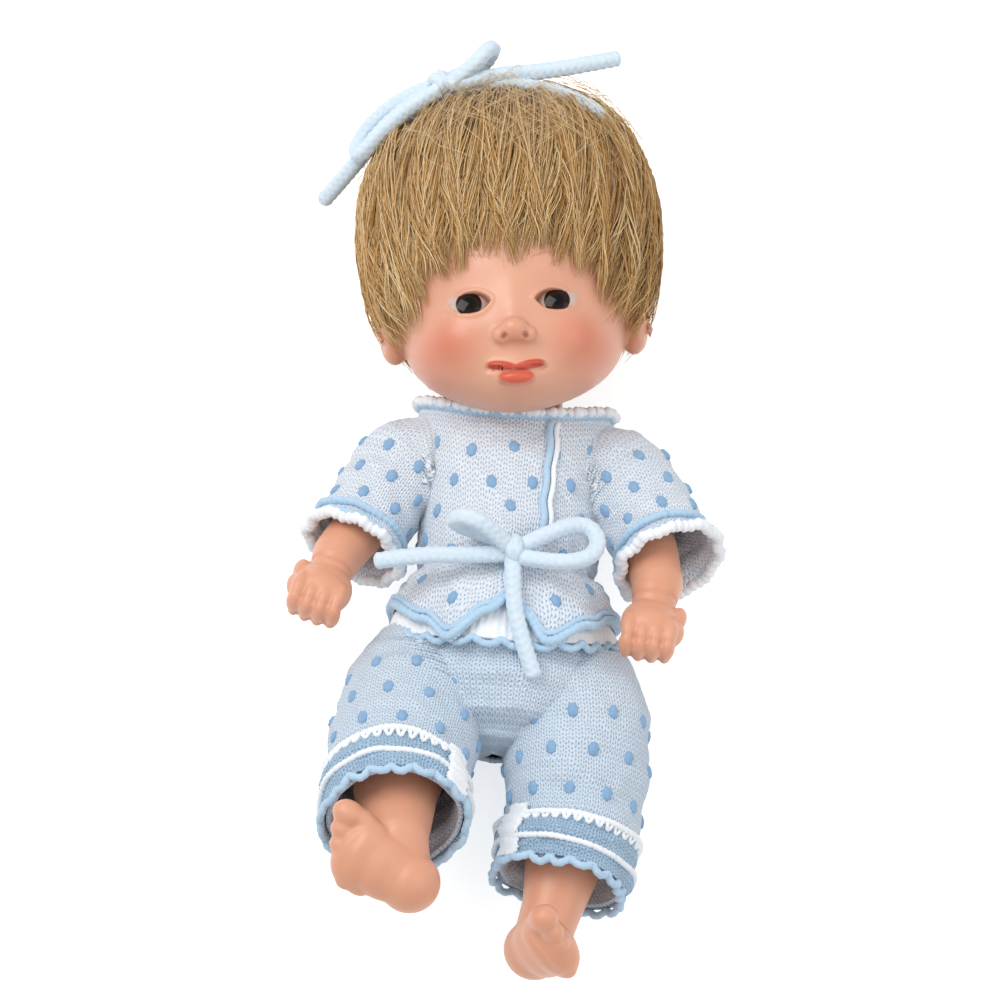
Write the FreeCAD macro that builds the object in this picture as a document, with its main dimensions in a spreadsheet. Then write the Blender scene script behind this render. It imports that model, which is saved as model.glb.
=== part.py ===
import FreeCAD, Part
import Sketcher
import os
import re
from math import cos, pi, radians, sin, tan

# Baby doll with a vinyl head, arms and legs, a stiff two-half torso that holds a small voice
# module, knitted pyjamas and a corded headband. It lies on its back: +X is the doll's left,
# +Y points to the head and +Z out of the front. Z = 0 is the surface under the jacket back.
# Units are millimetres.

Vec = FreeCAD.Vector
X_DIR, Y_DIR, Z_DIR = Vec(1, 0, 0), Vec(0, 1, 0), Vec(0, 0, 1)

os.makedirs("parts", exist_ok=True)
doc = FreeCAD.newDocument("BabyDoll")

# ---------------------------------------------------------------- driving dimensions
sizes = {
    # torso casing
    "body_axis_z": 21.0,        # height of the torso's long axis over the surface
    "chest_width": 35.2, "tummy_width": 42.0, "torso_depth": 37.2,
    "neck_base_y": 9.0, "seat_y": -63.0, "casing_wall": 1.6,
    # joints
    "shoulder_x": 20.0, "shoulder_y": -2.0, "hip_x": 15.0, "hip_y": -50.0, "hip_angle": 30.0,
    "joint_gap": 0.15, "running_gap": 0.3, "arm_stub_radius": 5.1, "leg_stub_radius": 6.1,
    "socket_length": 7.0, "flange_length": 1.8, "socket_wall": 3.2,
    "neck_y": 19.0, "neck_ball_radius": 8.0, "neck_radius": 5.0,
    # head
    "head_width": 60.0, "head_depth": 60.0, "head_length": 84.0, "head_z": 31.8,
    "face_width": 53.0, "chin_y": 9.4,
    "skin": 2.2, "head_rest_turn": -6.0, "head_rest_tilt": 6.0,
    "eye_radius": 7.0, "eye_spacing": 21.0, "iris_radius": 3.3,
    "hair_side": 7.0, "hair_top": 3.0, "cord_size": 4.0,
    # limbs
    "arm_radius": 6.4, "sleeve_radius": 9.6, "thigh_radius": 13.0, "ankle_radius": 7.2,
    "trouser_radius": 16.8, "cuff_radius": 14.0, "cloth": 1.5,
    "left_raise": 10.0, "right_raise": 40.0,
    # jacket
    "jacket_top_y": 7.6, "waist_y": -24.0, "hem_y": -36.0, "hem_width": 53.0,
    "jacket_thickness": 1.6, "cloth_gap": 0.4,
    # voice module
    "speaker_y": -11.0, "speaker_radius": 8.5, "button_y": -34.0, "button_radius": 4.5,
    "button_travel": 1.2, "cell_radius": 5.8, "cell_length": 5.4, "cell_y": -30.0,
    "board_width": 22.0, "board_length": 24.0, "board_thickness": 1.0, "board_z": 23.0,
    "door_width": 21.0, "door_length": 15.0, "door_gap": 0.2,
    "screw_radius": 1.1, "screw_x": 15.6, "screw_y": -27.0, "collar_screw_y": 3.0,
    "switch_travel": 2.4,
}
sheet = doc.addObject("Spreadsheet::Sheet", "Sizes")
for row, (alias, number) in enumerate(sizes.items(), start=1):
    sheet.set(f"A{row}", alias)
    sheet.set(f"B{row}", str(number))
    sheet.setAlias(f"B{row}", alias)
doc.recompute()


def size(alias):
    return float(sheet.get(alias))


def with_sheet(text):
    """The formula with Sizes. before each alias."""
    return re.sub(r"[a-z][a-z_]{3,}", lambda found: "Sizes." + found.group(0), text)


def feature(name, shape):
    obj = doc.addObject("Part::Feature", name)
    obj.Shape = shape
    return obj


# ---------------------------------------------------------------- shape helpers
def ring_wire(center, normal, across, half_width, half_depth):
    """Ellipse wire with half_width along across and half_depth along normal x across."""
    side = normal.cross(across)
    big, small = max(half_width, half_depth), min(half_width, half_depth)
    first, second = (across, side) if half_width >= half_depth else (side, across)
    if big - small < 1e-6:
        edge = Part.Circle(center, normal, big).toShape()
    else:
        edge = Part.Ellipse(center + first * big, center + second * small, center).toShape()
    return Part.Wire([edge])


def loft_along_y(sections):
    """Solid through ellipses given as (y, half width, half depth), centred on the body axis."""
    height = size("body_axis_z")
    wires = [ring_wire(Vec(0, y, height), Y_DIR, X_DIR, wide, deep) for y, wide, deep in sections]
    return Part.makeLoft(wires, True)


def limb_loft(points, radii):
    """Solid through circles centred on points and square to the path between them."""
    wires = []
    for index, point in enumerate(points):
        before = points[max(index - 1, 0)]
        after = points[min(index + 1, len(points) - 1)]
        along = (after - before).normalize()
        wires.append(Part.Wire([Part.Circle(point, along, radii[index]).toShape()]))
    return Part.makeLoft(wires, True)


def ellipsoid(center, half_x, half_y, half_z, rotation=None):
    """Egg-smooth solid through ellipses along its own Y, with small flat ends."""
    wires = []
    for latitude in (-78, -52, -26, 0, 26, 52, 78):
        share = cos(radians(latitude))
        wires.append(ring_wire(Vec(0, half_y * sin(radians(latitude)), 0), Y_DIR, X_DIR,
                               half_x * share, half_z * share))
    solid = Part.makeLoft(wires, True)
    solid.Placement = FreeCAD.Placement(center, rotation or FreeCAD.Rotation())
    return solid


def slab(low, high):
    """Box between two corners."""
    return Part.makeBox(high.x - low.x, high.y - low.y, high.z - low.z, low)


def one_solid(shape):
    """The largest solid of a boolean result, with its faces outward."""
    largest = max(shape.Solids, key=lambda solid: abs(solid.Volume))
    return largest if largest.Volume > 0 else largest.reversed()


def half_space(point, normal, reach=80.0):
    """Big block on the normal's side of a plane through point."""
    block = Part.makeBox(2 * reach, 2 * reach, reach, Vec(-reach, -reach, 0))
    block.Placement = FreeCAD.Placement(point, FreeCAD.Rotation(Z_DIR, normal))
    return block


# ---------------------------------------------------------------- torso casing
gap = size("cloth_gap")
wall = size("casing_wall")
axis_z = size("body_axis_z")


def torso_sections(grow):
    chest, tummy = size("chest_width") / 2 + grow, size("tummy_width") / 2 + grow
    deep = size("torso_depth") / 2 + grow
    top, low = size("neck_base_y"), size("seat_y")
    return [(top + grow, 0.5 * chest, 0.48 * deep), (top - 3, 0.72 * chest, 0.66 * deep),
            (top - 10, 0.95 * chest, 0.82 * deep), (top - 20, chest, 0.92 * deep),
            (top - 30, 0.65 * chest + 0.35 * tummy, 0.98 * deep), (low + 34, tummy, deep),
            (low + 21, tummy, deep), (low + 9, 0.86 * tummy, 0.9 * deep),
            (low - grow, 0.5 * tummy, 0.58 * deep)]


def hip_frame(side):
    """Hip centre, axis pointing out of the body, and the level direction down the thigh."""
    angle = radians(size("hip_angle"))
    center = Vec(side * size("hip_x"), size("hip_y"), axis_z)
    return center, Vec(side * cos(angle), -sin(angle), 0), Vec(-side * sin(angle), -cos(angle), 0)


def shoulder_frame(side):
    return Vec(side * size("shoulder_x"), size("shoulder_y"), axis_z), Vec(side, 0, 0)


def joints_of(grow=0.0):
    """(centre, axis, bore radius) of the four limb joints."""
    for side in (1, -1):
        center, axis = shoulder_frame(side)
        yield center, axis, size("arm_stub_radius") + grow
        center, axis, level = hip_frame(side)
        yield center, axis, size("leg_stub_radius") + grow


full_torso = loft_along_y(torso_sections(0))
hollow = loft_along_y(torso_sections(-wall))
casing = full_torso.cut(hollow)
seat_planes = []
for center, axis, radius in joints_of(size("running_gap")):
    face = center - axis * size("joint_gap")
    length = size("socket_length")
    outer = Part.makeCylinder(radius + size("socket_wall"), length, face, axis * -1)
    bore = Part.makeCylinder(radius, length + 10, face + axis * 5, axis * -1)
    casing = casing.fuse(outer).cut(bore)
    if abs(axis.y) > 0.1:
        seat_planes.append(half_space(face, axis))
for block in seat_planes:
    casing = casing.cut(block)

# neck with its ball, closed into the front and back halves
neck = Part.makeCylinder(size("neck_radius"), size("neck_y") - size("neck_base_y") + wall,
                         Vec(0, size("neck_base_y") - wall, axis_z + 3), Y_DIR)
neck_ball = Part.makeSphere(size("neck_ball_radius"), Vec(0, size("neck_y"), axis_z + 3))
neck_ball = neck_ball.common(slab(Vec(-20, 0, 0), Vec(20, size("neck_y") + 6.5, 60)))
neck_knob = one_solid(neck_ball.fuse(neck).cut(full_torso))

# speaker grille and button hole in the chest, battery opening and switch slot in the back
speaker_at = Vec(0, size("speaker_y"), 0)
grille_holes = [Part.makeCylinder(0.8, 40, speaker_at + Vec(0, 0, axis_z))]
for ring_radius, count in ((2.6, 6), (5.2, 12)):
    for step in range(count):
        turn = radians(360 * step / count)
        spot = speaker_at + Vec(ring_radius * cos(turn), ring_radius * sin(turn), axis_z)
        grille_holes.append(Part.makeCylinder(0.8, 40, spot))
button_at = Vec(0, size("button_y"), 0)
button_hole = Part.makeCylinder(size("button_radius") + size("running_gap"), 40,
                                button_at + Vec(0, 0, axis_z))
door_half = Vec(size("door_width") / 2, size("door_length") / 2, 0)
door_at = Vec(0, size("cell_y"), 0)
door_hole = slab(door_at - door_half + Vec(0, 0, -5), door_at + door_half + Vec(0, 0, 6.4))
switch_at = Vec(0, size("cell_y") + size("door_length") / 2 + 5.0, 0)
switch_slot = slab(switch_at + Vec(-2.0 - size("switch_travel") / 2, -1.3, -5),
                   switch_at + Vec(2.0 + size("switch_travel") / 2, 1.3, 8))

# battery bay and screw posts stand on the back half, short posts on the front half
bay_outer = slab(door_at - door_half - Vec(1.4, 1.4, -2), door_at + door_half + Vec(1.4, 1.4, 19.0))
bay_inner = slab(door_at - door_half + Vec(1.0, 1.0, 0), door_at + door_half - Vec(1.0, 1.0, -18.0))
screw_spots = [Vec(size("screw_x"), size("screw_y"), 0), Vec(-size("screw_x"), size("screw_y"), 0),
               Vec(0, size("collar_screw_y"), 0)]
back_half = slab(Vec(-60, -100, -20), Vec(60, 60, axis_z))
front_half = slab(Vec(-60, -100, axis_z), Vec(60, 60, 80))
posts = [Part.makeCylinder(2.6, 60, spot - Vec(0, 0, 5)) for spot in screw_spots]
posts = posts[0].multiFuse(posts[1:]).common(full_torso)
back = casing.common(back_half).fuse(bay_outer.common(full_torso)).fuse(posts.common(back_half))
back = back.cut(door_hole).cut(bay_inner).cut(switch_slot)
front = casing.common(front_half).fuse(posts.common(slab(Vec(-60, -100, axis_z),
                                                         Vec(60, 60, axis_z + 9))))
front = front.cut(grille_holes[0].multiFuse(grille_holes[1:])).cut(button_hole)
screws = []
for spot in screw_spots:
    pilot = Part.makeCylinder(size("screw_radius"), 12, spot + Vec(0, 0, axis_z - 6))
    front = front.cut(pilot)
    back = back.cut(pilot).cut(Part.makeCylinder(2.0, axis_z, spot + Vec(0, 0, -6)))
    head = Part.makeCylinder(1.9, 1.2, spot + Vec(0, 0, axis_z - 7.2))
    shank = Part.makeCylinder(size("screw_radius"), 10, spot + Vec(0, 0, axis_z - 6))
    screws.append(head.fuse(shank))

pieces = {}


def piece(name, obj):
    """Keep obj as the sub-part called name."""
    if isinstance(obj, Part.Shape):
        shape = obj if obj.ShapeType in ("Solid", "Compound") else Part.Compound([obj])
        obj = feature(name, shape)
    obj.Label = name
    pieces[name] = obj
    return obj


# limb sockets hollow out everything that stands in their bores
limb_bores = [Part.makeCylinder(radius + 2.6, 4.0, center - axis * (size("socket_length") + 3.9), axis)
              for center, axis, radius in joints_of()]
for bore in limb_bores:
    back, front = back.cut(bore), front.cut(bore)
piece("torso_back_shell", one_solid(back))
piece("torso_front_shell", one_solid(front))
piece("neck_knob", neck_knob)
piece("torso_screws", Part.Compound(screws))
door_skin = full_torso.cut(loft_along_y(torso_sections(-wall)))
door_cut = slab(door_at - door_half + Vec(size("door_gap"), size("door_gap"), -5),
                door_at + door_half - Vec(size("door_gap"), size("door_gap"), -6.4))
piece("battery_door", one_solid(door_skin.common(door_cut)))


# ---------------------------------------------------------------- voice module
def plane_of(body, role):
    return next(item for item in body.Origin.OriginFeatures if item.Role == role)


def outline(body, role, corners):
    """Closed sketch whose corners are pairs of formulas over the sheet's aliases."""
    sketch = body.newObject("Sketcher::SketchObject", body.Name + "_outline")
    sketch.AttachmentSupport = [(plane_of(body, role), "")]
    sketch.MapMode = "FlatFace"
    spots = [Vec(*[float(sheet.evalExpression(with_sheet(text))) for text in corner], 0)
             for corner in corners]
    for start, end in zip(spots, spots[1:] + spots[:1]):
        sketch.addGeometry(Part.LineSegment(start, end))
    for index, corner in enumerate(corners):
        sketch.addConstraint(Sketcher.Constraint("Coincident", index, 2, (index + 1) % len(corners), 1))
        for kind, text in zip(("DistanceX", "DistanceY"), corner):
            value = spots[index].x if kind == "DistanceX" else spots[index].y
            number = sketch.addConstraint(Sketcher.Constraint(kind, -1, 1, index, 1, value))
            sketch.setExpression(f"Constraints[{number}]", with_sheet(text))
    return sketch


def turned_body(name, corners, place):
    """Body turned about its own Z axis; place gives formulas for its base point."""
    body = doc.addObject("PartDesign::Body", name)
    spin = body.newObject("PartDesign::Revolution", name + "_turned")
    spin.Profile = outline(body, "XZ_Plane", corners)
    spin.ReferenceAxis = (spin.Profile[0], ["V_Axis"])
    spin.Angle = 360.0
    return settle(body, place)


def padded_body(name, corners, thickness, place):
    """Body padded up its own Z axis."""
    body = doc.addObject("PartDesign::Body", name)
    pad = body.newObject("PartDesign::Pad", name + "_pad")
    pad.Profile = outline(body, "XY_Plane", corners)
    pad.setExpression("Length", with_sheet(thickness))
    return settle(body, place)


def settle(body, place):
    for letter, text in zip("xyz", place):
        body.setExpression("Placement.Base." + letter, with_sheet(text))
    body.Label = body.Name
    return body


def box_corners(wide, deep):
    half_x, half_y = f"({wide}) / 2", f"({deep}) / 2"
    return [(f"-{half_x}", f"-{half_y}"), (half_x, f"-{half_y}"), (half_x, half_y),
            (f"-{half_x}", half_y)]


board_place = ("0", "cell_y + 5", "board_z")
over_board = "board_z + board_thickness"
piece("circuit_board", padded_body("circuit_board", box_corners("board_width", "board_length"),
                                   "board_thickness", board_place))
piece("voice_chip", padded_body("voice_chip", box_corners("8", "8"), "1.4",
                                ("0", "cell_y + 8", over_board)))
piece("tact_switch", padded_body("tact_switch", box_corners("6", "6"), "2.6",
                                 ("0", "button_y", over_board)))
speaker_base = ("0", "speaker_y", "board_z + 2")
piece("speaker_magnet", turned_body("speaker_magnet", [("0", "0"), ("4.5", "0"), ("4.5", "3"),
                                                       ("0", "3")], speaker_base))
piece("speaker_frame", turned_body("speaker_frame", [
    ("2.5", "3"), ("4.6", "3"), ("speaker_radius - 1.2", "6.4"), ("speaker_radius", "6.4"),
    ("speaker_radius", "8"), ("speaker_radius - 0.8", "8"), ("speaker_radius - 0.8", "7"),
    ("speaker_radius - 1.8", "7"), ("4", "3.8"), ("2.5", "3.8")], speaker_base))
piece("speaker_cone", turned_body("speaker_cone", [
    ("0", "4.6"), ("1.6", "4.2"), ("speaker_radius - 2.4", "7.1"), ("speaker_radius - 0.9", "7.2"),
    ("speaker_radius - 0.9", "7.6"), ("speaker_radius - 2.5", "7.6"), ("1.6", "4.8"),
    ("0", "5.2")], speaker_base))
button_top = "body_axis_z + torso_depth / 2 - 0.2"
piece("tummy_button", turned_body("tummy_button", [
    ("0", "-12.0 + button_travel"), ("1.6", "-12.0 + button_travel"), ("1.6", "-4.6"),
    ("button_radius + 1.6", "-4.6"), ("button_radius + 1.6", "-3.4"), ("button_radius", "-3.2"),
    ("button_radius", "-1.2"), ("button_radius - 0.8", "-0.4"), ("0", "0")],
    ("0", "button_y", button_top)))
switch_place = ("-switch_travel / 2", "cell_y + door_length / 2 + 5", "6.3")
knob_body = padded_body("power_switch", box_corners("8.4", "4.4"), "1.0", switch_place)
knob = knob_body.newObject("PartDesign::Pad", "power_switch_knob")
knob.Profile = outline(knob_body, "XY_Plane", box_corners("3.8", "2.2"))
knob.Length = 2.5
knob.Reversed = True
piece("power_switch", knob_body)

# silicone bellows that push the button back up from the switch
bellows_height = "(body_axis_z + torso_depth / 2 - board_z - board_thickness - 7.6)"
folds = [(radius, step) for step, radius in enumerate([2.4, 3.2] * 4 + [2.4])]
walls = folds + [(radius - 0.4, step) for radius, step in reversed(folds)]
piece("button_spring", turned_body("button_spring", [
    (str(radius), f"{bellows_height} * {step} / 8") for radius, step in walls],
    ("0", "button_y", over_board + " + 2.7")))

cell_z = 11.7
for number in range(3):
    start = Vec((number - 1.5) * size("cell_length"), size("cell_y"), cell_z)
    cell = Part.makeCylinder(size("cell_radius"), size("cell_length"), start, X_DIR)
    cell = cell.makeFillet(0.4, [edge for edge in cell.Edges if edge.Closed])
    piece(f"battery_cell_{number + 1}", cell)
cell_end = 1.5 * size("cell_length")
contacts = [slab(Vec(side * (cell_end + 0.25) - 0.2, size("cell_y") - 4, cell_z - 4),
                 Vec(side * (cell_end + 0.25) + 0.2, size("cell_y") + 4, cell_z + 4))
            for side in (1, -1)]
piece("battery_contacts", Part.Compound(contacts))


# ---------------------------------------------------------------- head
neck_center = Vec(0, size("neck_y"), axis_z + 3)
tilt = FreeCAD.Rotation(Z_DIR, size("head_rest_tilt"))
rest_turn = tilt.multiply(FreeCAD.Rotation(Y_DIR, size("head_rest_turn")))
head_turn = FreeCAD.Placement(Vec(), rest_turn, neck_center)
stem_axis = rest_turn.inverted().multVec(Y_DIR)


def head_piece(name, shape):
    """Keep a shape made facing straight out, turned with the head as it lies."""
    shape.Placement = head_turn.multiply(shape.Placement)
    return piece(name, shape)


def head_form(grow):
    """Rounded head: small chin, full cheeks and a deep skull, through sections along Y."""
    wide, deep = size("head_width") / 2 + grow, size("head_depth") / 2 + grow
    cheek = size("face_width") / 2 + grow
    middle, low, length = size("head_z"), size("chin_y") - grow, size("head_length") + 2 * grow
    rows = [(0.0, 0.16 * cheek, 0.12 * deep, 14.5), (0.03, 0.42 * cheek, 0.3 * deep, 14.0),
            (0.08, 0.7 * cheek, 0.47 * deep, 12.0), (0.15, 0.9 * cheek, 0.64 * deep, 9.5),
            (0.25, 1.0 * cheek, 0.79 * deep, 6.5), (0.36, 0.5 * (cheek + wide), 0.92 * deep, 3.2),
            (0.48, 0.985 * wide, 0.99 * deep, 1.0), (0.62, wide, deep, 0.0),
            (0.75, 0.93 * wide, 0.93 * deep, -0.5), (0.87, 0.75 * wide, 0.75 * deep, -0.8),
            (0.95, 0.49 * wide, 0.49 * deep, -1.0), (1.0, 0.14 * wide, 0.14 * deep, -1.0)]
    wires = [ring_wire(Vec(0, low + share * length, middle + rise), Y_DIR, X_DIR, half, half_deep)
             for share, half, half_deep, rise in rows]
    return Part.makeLoft(wires, True)


face_front = size("head_z") + size("head_depth") / 2 + 0.8
face_mid_y = size("chin_y") + 27
eye_y = face_mid_y - 5.0
head_outer = head_form(0)
nose = ellipsoid(Vec(0, face_mid_y - 12.5, face_front - 2.6), 4.6, 4.2, 4.4)
nose_bridge = ellipsoid(Vec(0, face_mid_y - 8, face_front - 2.6), 2.6, 6.5, 3.2)
upper_lip = ellipsoid(Vec(0, face_mid_y - 19.2, face_front - 6.6), 5.8, 1.9, 3.2)
lower_lip = ellipsoid(Vec(0, face_mid_y - 22.4, face_front - 8.2), 4.4, 1.7, 3.4)
chin = ellipsoid(Vec(0, face_mid_y - 24.0, face_front - 14.2), 8.5, 5.0, 7.5)
collar_radius = size("neck_ball_radius") + 3.0
neck_socket = Part.makeCylinder(collar_radius, 16, neck_center - Y_DIR * 6.5, Y_DIR)
eye_room = slab(Vec(-20, 20, size("head_z") + 6), Vec(20, 60, 80))
solid_head = head_outer.multiFuse([nose, nose_bridge, upper_lip, lower_lip, chin])
for side in (1, -1):
    ear_turn = FreeCAD.Rotation(Y_DIR, side * 25)
    ear_at = Vec(side * (size("head_width") / 2 - 1.6), face_mid_y - 2, size("head_z") + 4)
    ear = ellipsoid(ear_at, 3.4, 7.2, 5.2, ear_turn)
    bowl = ellipsoid(ear_at + Vec(side * 2.6, 0.4, 1.4), 2.4, 4.6, 3.0, ear_turn)
    solid_head = solid_head.fuse(ear).cut(bowl)
eye_centers = [Vec(side * size("eye_spacing") / 2, eye_y, face_front - 8.4) for side in (1, -1)]
head = solid_head.cut(head_form(-size("skin"))).fuse(neck_socket.cut(eye_room))
head = head.cut(Part.makeSphere(size("neck_ball_radius") + size("running_gap"), neck_center))
stem_bore = Part.makeCylinder(size("neck_radius") + 0.7, 12, neck_center - stem_axis * 10, stem_axis)
head = head.cut(stem_bore)
sockets = []
for center in eye_centers:
    cup = Part.makeSphere(size("eye_radius") + 1.4, center).common(solid_head)
    head = head.fuse(cup)
    sockets.append(Part.makeSphere(size("eye_radius"), center))
head = head.cut(sockets[0]).cut(sockets[1])
for name, center in zip(("left", "right"), eye_centers):
    globe = Part.makeSphere(size("eye_radius"), center)
    pupil_cut = Part.makeCylinder(size("iris_radius"), 4, center + Z_DIR * (size("eye_radius") - 1.2))
    lens = Part.makeSphere(size("eye_radius") + 0.1, center).common(pupil_cut)
    head_piece(name + "_eye", one_solid(globe.cut(pupil_cut)))
    head_piece(name + "_iris", one_solid(lens))
    head = head.cut(lens)
head_piece("head_shell", one_solid(head))

# hair: a rooted cap whose fringe, sides and back are clear of the face
hair_middle = size("chin_y") + 49.6


def hair_form(grow):
    """Outside of the hair, an egg along Y around the skull."""
    return ellipsoid(Vec(0, hair_middle, size("head_z") - 0.8),
                     size("head_width") / 2 + size("hair_side") + grow,
                     (size("head_length") + size("hair_top") - 49.6 + grow) * 1.02,
                     size("head_depth") / 2 + 2.0 + grow)


hair_solid = hair_form(0)
on_table = slab(Vec(-80, -80, 0.2), Vec(80, 160, 120))
hair = hair_solid.cut(solid_head).cut(neck_socket).common(on_table)
fringe_low = Vec(-60, size("neck_y") + 27, size("head_z") + 5)
hair_fringe = hair.common(slab(fringe_low, Vec(60, 140, 120)))
hair_rear = hair.common(slab(Vec(-60, size("neck_y") + 7, -5), Vec(60, 140, size("head_z") + 5)))
band_center = Vec(0, size("neck_y") + 43, size("head_z") + 1)
band_turn = FreeCAD.Rotation(X_DIR, 35)
band_slab = Part.makeBox(140, 140, 2.6, Vec(-70, -70, -1.3))
band_slab.Placement = FreeCAD.Placement(band_center, band_turn)
band_outer = hair_form(1.2)
headband = band_outer.common(band_slab).cut(hair_solid).common(on_table)
head_piece("hair_fringe", one_solid(hair_fringe))
head_piece("hair_rear", one_solid(hair_rear))


# ---------------------------------------------------------------- limbs and their clothes
def stub(center, axis, radius):
    """Neck and snap flange that hold a limb in its socket."""
    length = size("socket_length") + 2 * size("joint_gap")
    start = center + axis * size("joint_gap")
    shaft = Part.makeCylinder(radius, length + 1.0, start + axis * 0.5, axis * -1)
    flange = Part.makeCylinder(radius + 1.9, size("flange_length"), start - axis * length, axis * -1)
    return shaft.fuse(flange)


def outboard(center, axis):
    return half_space(center + axis * size("joint_gap"), axis)


def fist(wrist, center, side, thumb_turn):
    """Closed baby fist: palm, four curled fingers and the thumb laid over them."""
    along = (center - wrist).normalize()
    across = along.cross(Z_DIR).normalize() * side
    up = across.cross(along) * side
    hand = ellipsoid(center, 6.6, 7.2, 6.0)
    for number in range(4):
        knuckle = center + along * 4.2 + across * (4.6 - 3.0 * number) + up * (4.4 - 0.5 * number)
        finger = ellipsoid(knuckle, 2.1, 4.6 - 0.3 * number, 3.0, FreeCAD.Rotation(Y_DIR, along))
        hand = hand.fuse(finger)
    thumb_at = center - along * 0.4 + across * (-4.6 * thumb_turn) + up * 3.6
    return hand.fuse(ellipsoid(thumb_at, 2.2, 5.6, 2.3, FreeCAD.Rotation(Y_DIR, along)))


# elbow, cuff, wrist and fist places measured out from the shoulder
arm_routes = {1: [Vec(7, -6, 4), Vec(13, -15, 8), Vec(15, -24.5, 13.5), Vec(13.5, -37, 18.5)],
              -1: [Vec(7, -6, 4), Vec(14.5, -14, 8), Vec(19, -22.5, 12.5), Vec(22, -33, 17.5)]}


def build_arm(side, name):
    center, axis = shoulder_frame(side)
    offsets = [Vec(side * spot.x, spot.y, spot.z) for spot in arm_routes[side]]
    route = [center - axis * 6 + Vec(0, 3, -2)] + [center + spot for spot in offsets]
    radius = size("arm_radius")
    arm = limb_loft(route, [radius, radius + 0.6, radius + 0.8, radius - 0.6, radius - 1.6])
    crease = route[3] + (route[4] - route[3]) * 0.25
    arm = arm.common(outboard(center, axis))
    arm = arm.fuse(fist(crease, route[4], side, side)).fuse(stub(center, axis, size("arm_stub_radius")))
    piece(name + "_arm", one_solid(arm))
    sleeve_route = [center - axis * 6 + Vec(0, 3, -2), center + Vec(side * 4, -3, 2),
                    center + Vec(side * 10, -10, 5.5), center + Vec(side * 15.5, -18, 9.5)]
    wide = size("sleeve_radius")
    outer = limb_loft(sleeve_route, [wide, wide + 0.8, wide + 0.8, wide])
    thin = wide - size("cloth")
    inner = limb_loft(sleeve_route, [thin, thin + 0.8, thin + 0.8, thin])
    piece(name + "_sleeve", one_solid(outer.cut(inner).cut(arm).common(outboard(center, axis))))
    last = (sleeve_route[3] - sleeve_route[2]).normalize()
    cuff_start = sleeve_route[3] - last * 2.4
    cuff = Part.makeCylinder(wide + 1.3, 3.2, cuff_start, last).cut(outer)
    cuff = cuff.cut(Part.makeCylinder(thin + 0.2, 3.4, cuff_start, last))
    piece(name + "_sleeve_cuff", one_solid(cuff.cut(arm)))


def foot(ankle, heel_to_toe, sole_out):
    """Bare foot: heel, ball and five toes along heel_to_toe, sole facing sole_out."""
    across = heel_to_toe.cross(sole_out).normalize()
    turned = FreeCAD.Rotation(across, heel_to_toe, sole_out * -1, "XYZ")
    middle = ankle + sole_out * 4.0
    shape = ellipsoid(middle + heel_to_toe * 4.5, 7.6, 10.0, 5.2, turned)
    shape = shape.fuse(ellipsoid(middle - heel_to_toe * 4.0 - sole_out * 1.0, 6.6, 7.0, 6.6, turned))
    toe_sizes = (3.1, 2.5, 2.3, 2.1, 1.9)
    reach = 5.6
    for number, toe in enumerate(toe_sizes):
        spot = middle + heel_to_toe * (14.2 - 0.28 * number * number - 0.5 * number) + across * reach
        shape = shape.fuse(Part.makeSphere(toe, spot + sole_out * 1.2))
        reach -= 2.9 if number == 0 else 2.6
    return shape


def build_leg(side, name, raise_angle, heel_to_toe):
    center, axis, level = hip_frame(side)
    down = level * cos(radians(raise_angle)) + Z_DIR * sin(radians(raise_angle))
    route = [center - axis * 3, center + axis * 6 + down * 5, center + axis * 14 + down * 17,
             center + axis * 21 + down * 30, center + axis * 26.5 + down * 46]
    thigh, ankle = size("thigh_radius"), size("ankle_radius")
    leg = limb_loft(route, [thigh - 1, thigh, thigh - 1, ankle + 2.4, ankle])
    leg = leg.common(outboard(center, axis))
    sole_out = (down * 0.9 + axis * 0.35)
    sole_out = (sole_out - heel_to_toe * sole_out.dot(heel_to_toe)).normalize()
    leg = leg.fuse(foot(route[4] + down * 2.5, heel_to_toe, sole_out))
    leg = leg.fuse(stub(center, axis, size("leg_stub_radius")))
    piece(name + "_leg", one_solid(leg))
    wide, cuff_wide = size("trouser_radius"), size("cuff_radius") - 1.0
    cloth = size("cloth")
    cloth_route = [center - axis * 3] + route[1:4] + [route[3] + (route[4] - route[3]) * 0.6]
    widths = [wide - 0.6, wide, wide - 0.6, cuff_wide + 1.0, cuff_wide]
    outer = limb_loft(cloth_route, widths)
    inner = limb_loft(cloth_route, [width - cloth for width in widths])
    trouser = outer.cut(inner).common(outboard(center, axis)).cut(leg)
    piece(name + "_trouser_leg", one_solid(trouser))
    last = (cloth_route[4] - cloth_route[3]).normalize()
    cuff_start = cloth_route[4] - last * 7.0
    cuff = Part.makeCylinder(size("cuff_radius"), 7.6, cuff_start, last).cut(outer)
    cuff = cuff.cut(Part.makeCylinder(cuff_wide - cloth + 0.1, 9, cuff_start, last)).cut(leg)
    piece(name + "_trouser_cuff", one_solid(cuff))


build_arm(1, "left")
build_arm(-1, "right")
build_leg(1, "left", size("left_raise"), Vec(-0.12, 0.25, 0.96).normalize())
build_leg(-1, "right", size("right_raise"), Vec(-0.85, 0.39, 0.36).normalize())


# ---------------------------------------------------------------- jacket and trousers seat
def jacket_sections(grow):
    side = size("shoulder_x") - 0.35 + grow
    deep = size("torso_depth") / 2 + grow
    top, waist, hem = size("jacket_top_y"), size("waist_y"), size("hem_y")
    flare = size("hem_width") / 2 + grow
    return [(top, 0.54 * side, 0.55 * deep), (top - 3.6, 0.79 * side, 0.79 * deep),
            (top - 11.6, side, 0.97 * deep), (waist + 6, side, deep + 1.8),
            (waist, side + 2.3, deep + 2.6), (waist - 6, 0.5 * (side + flare) + 1.2, deep + 3.4),
            (hem, flare, deep + 4.0)]


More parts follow.
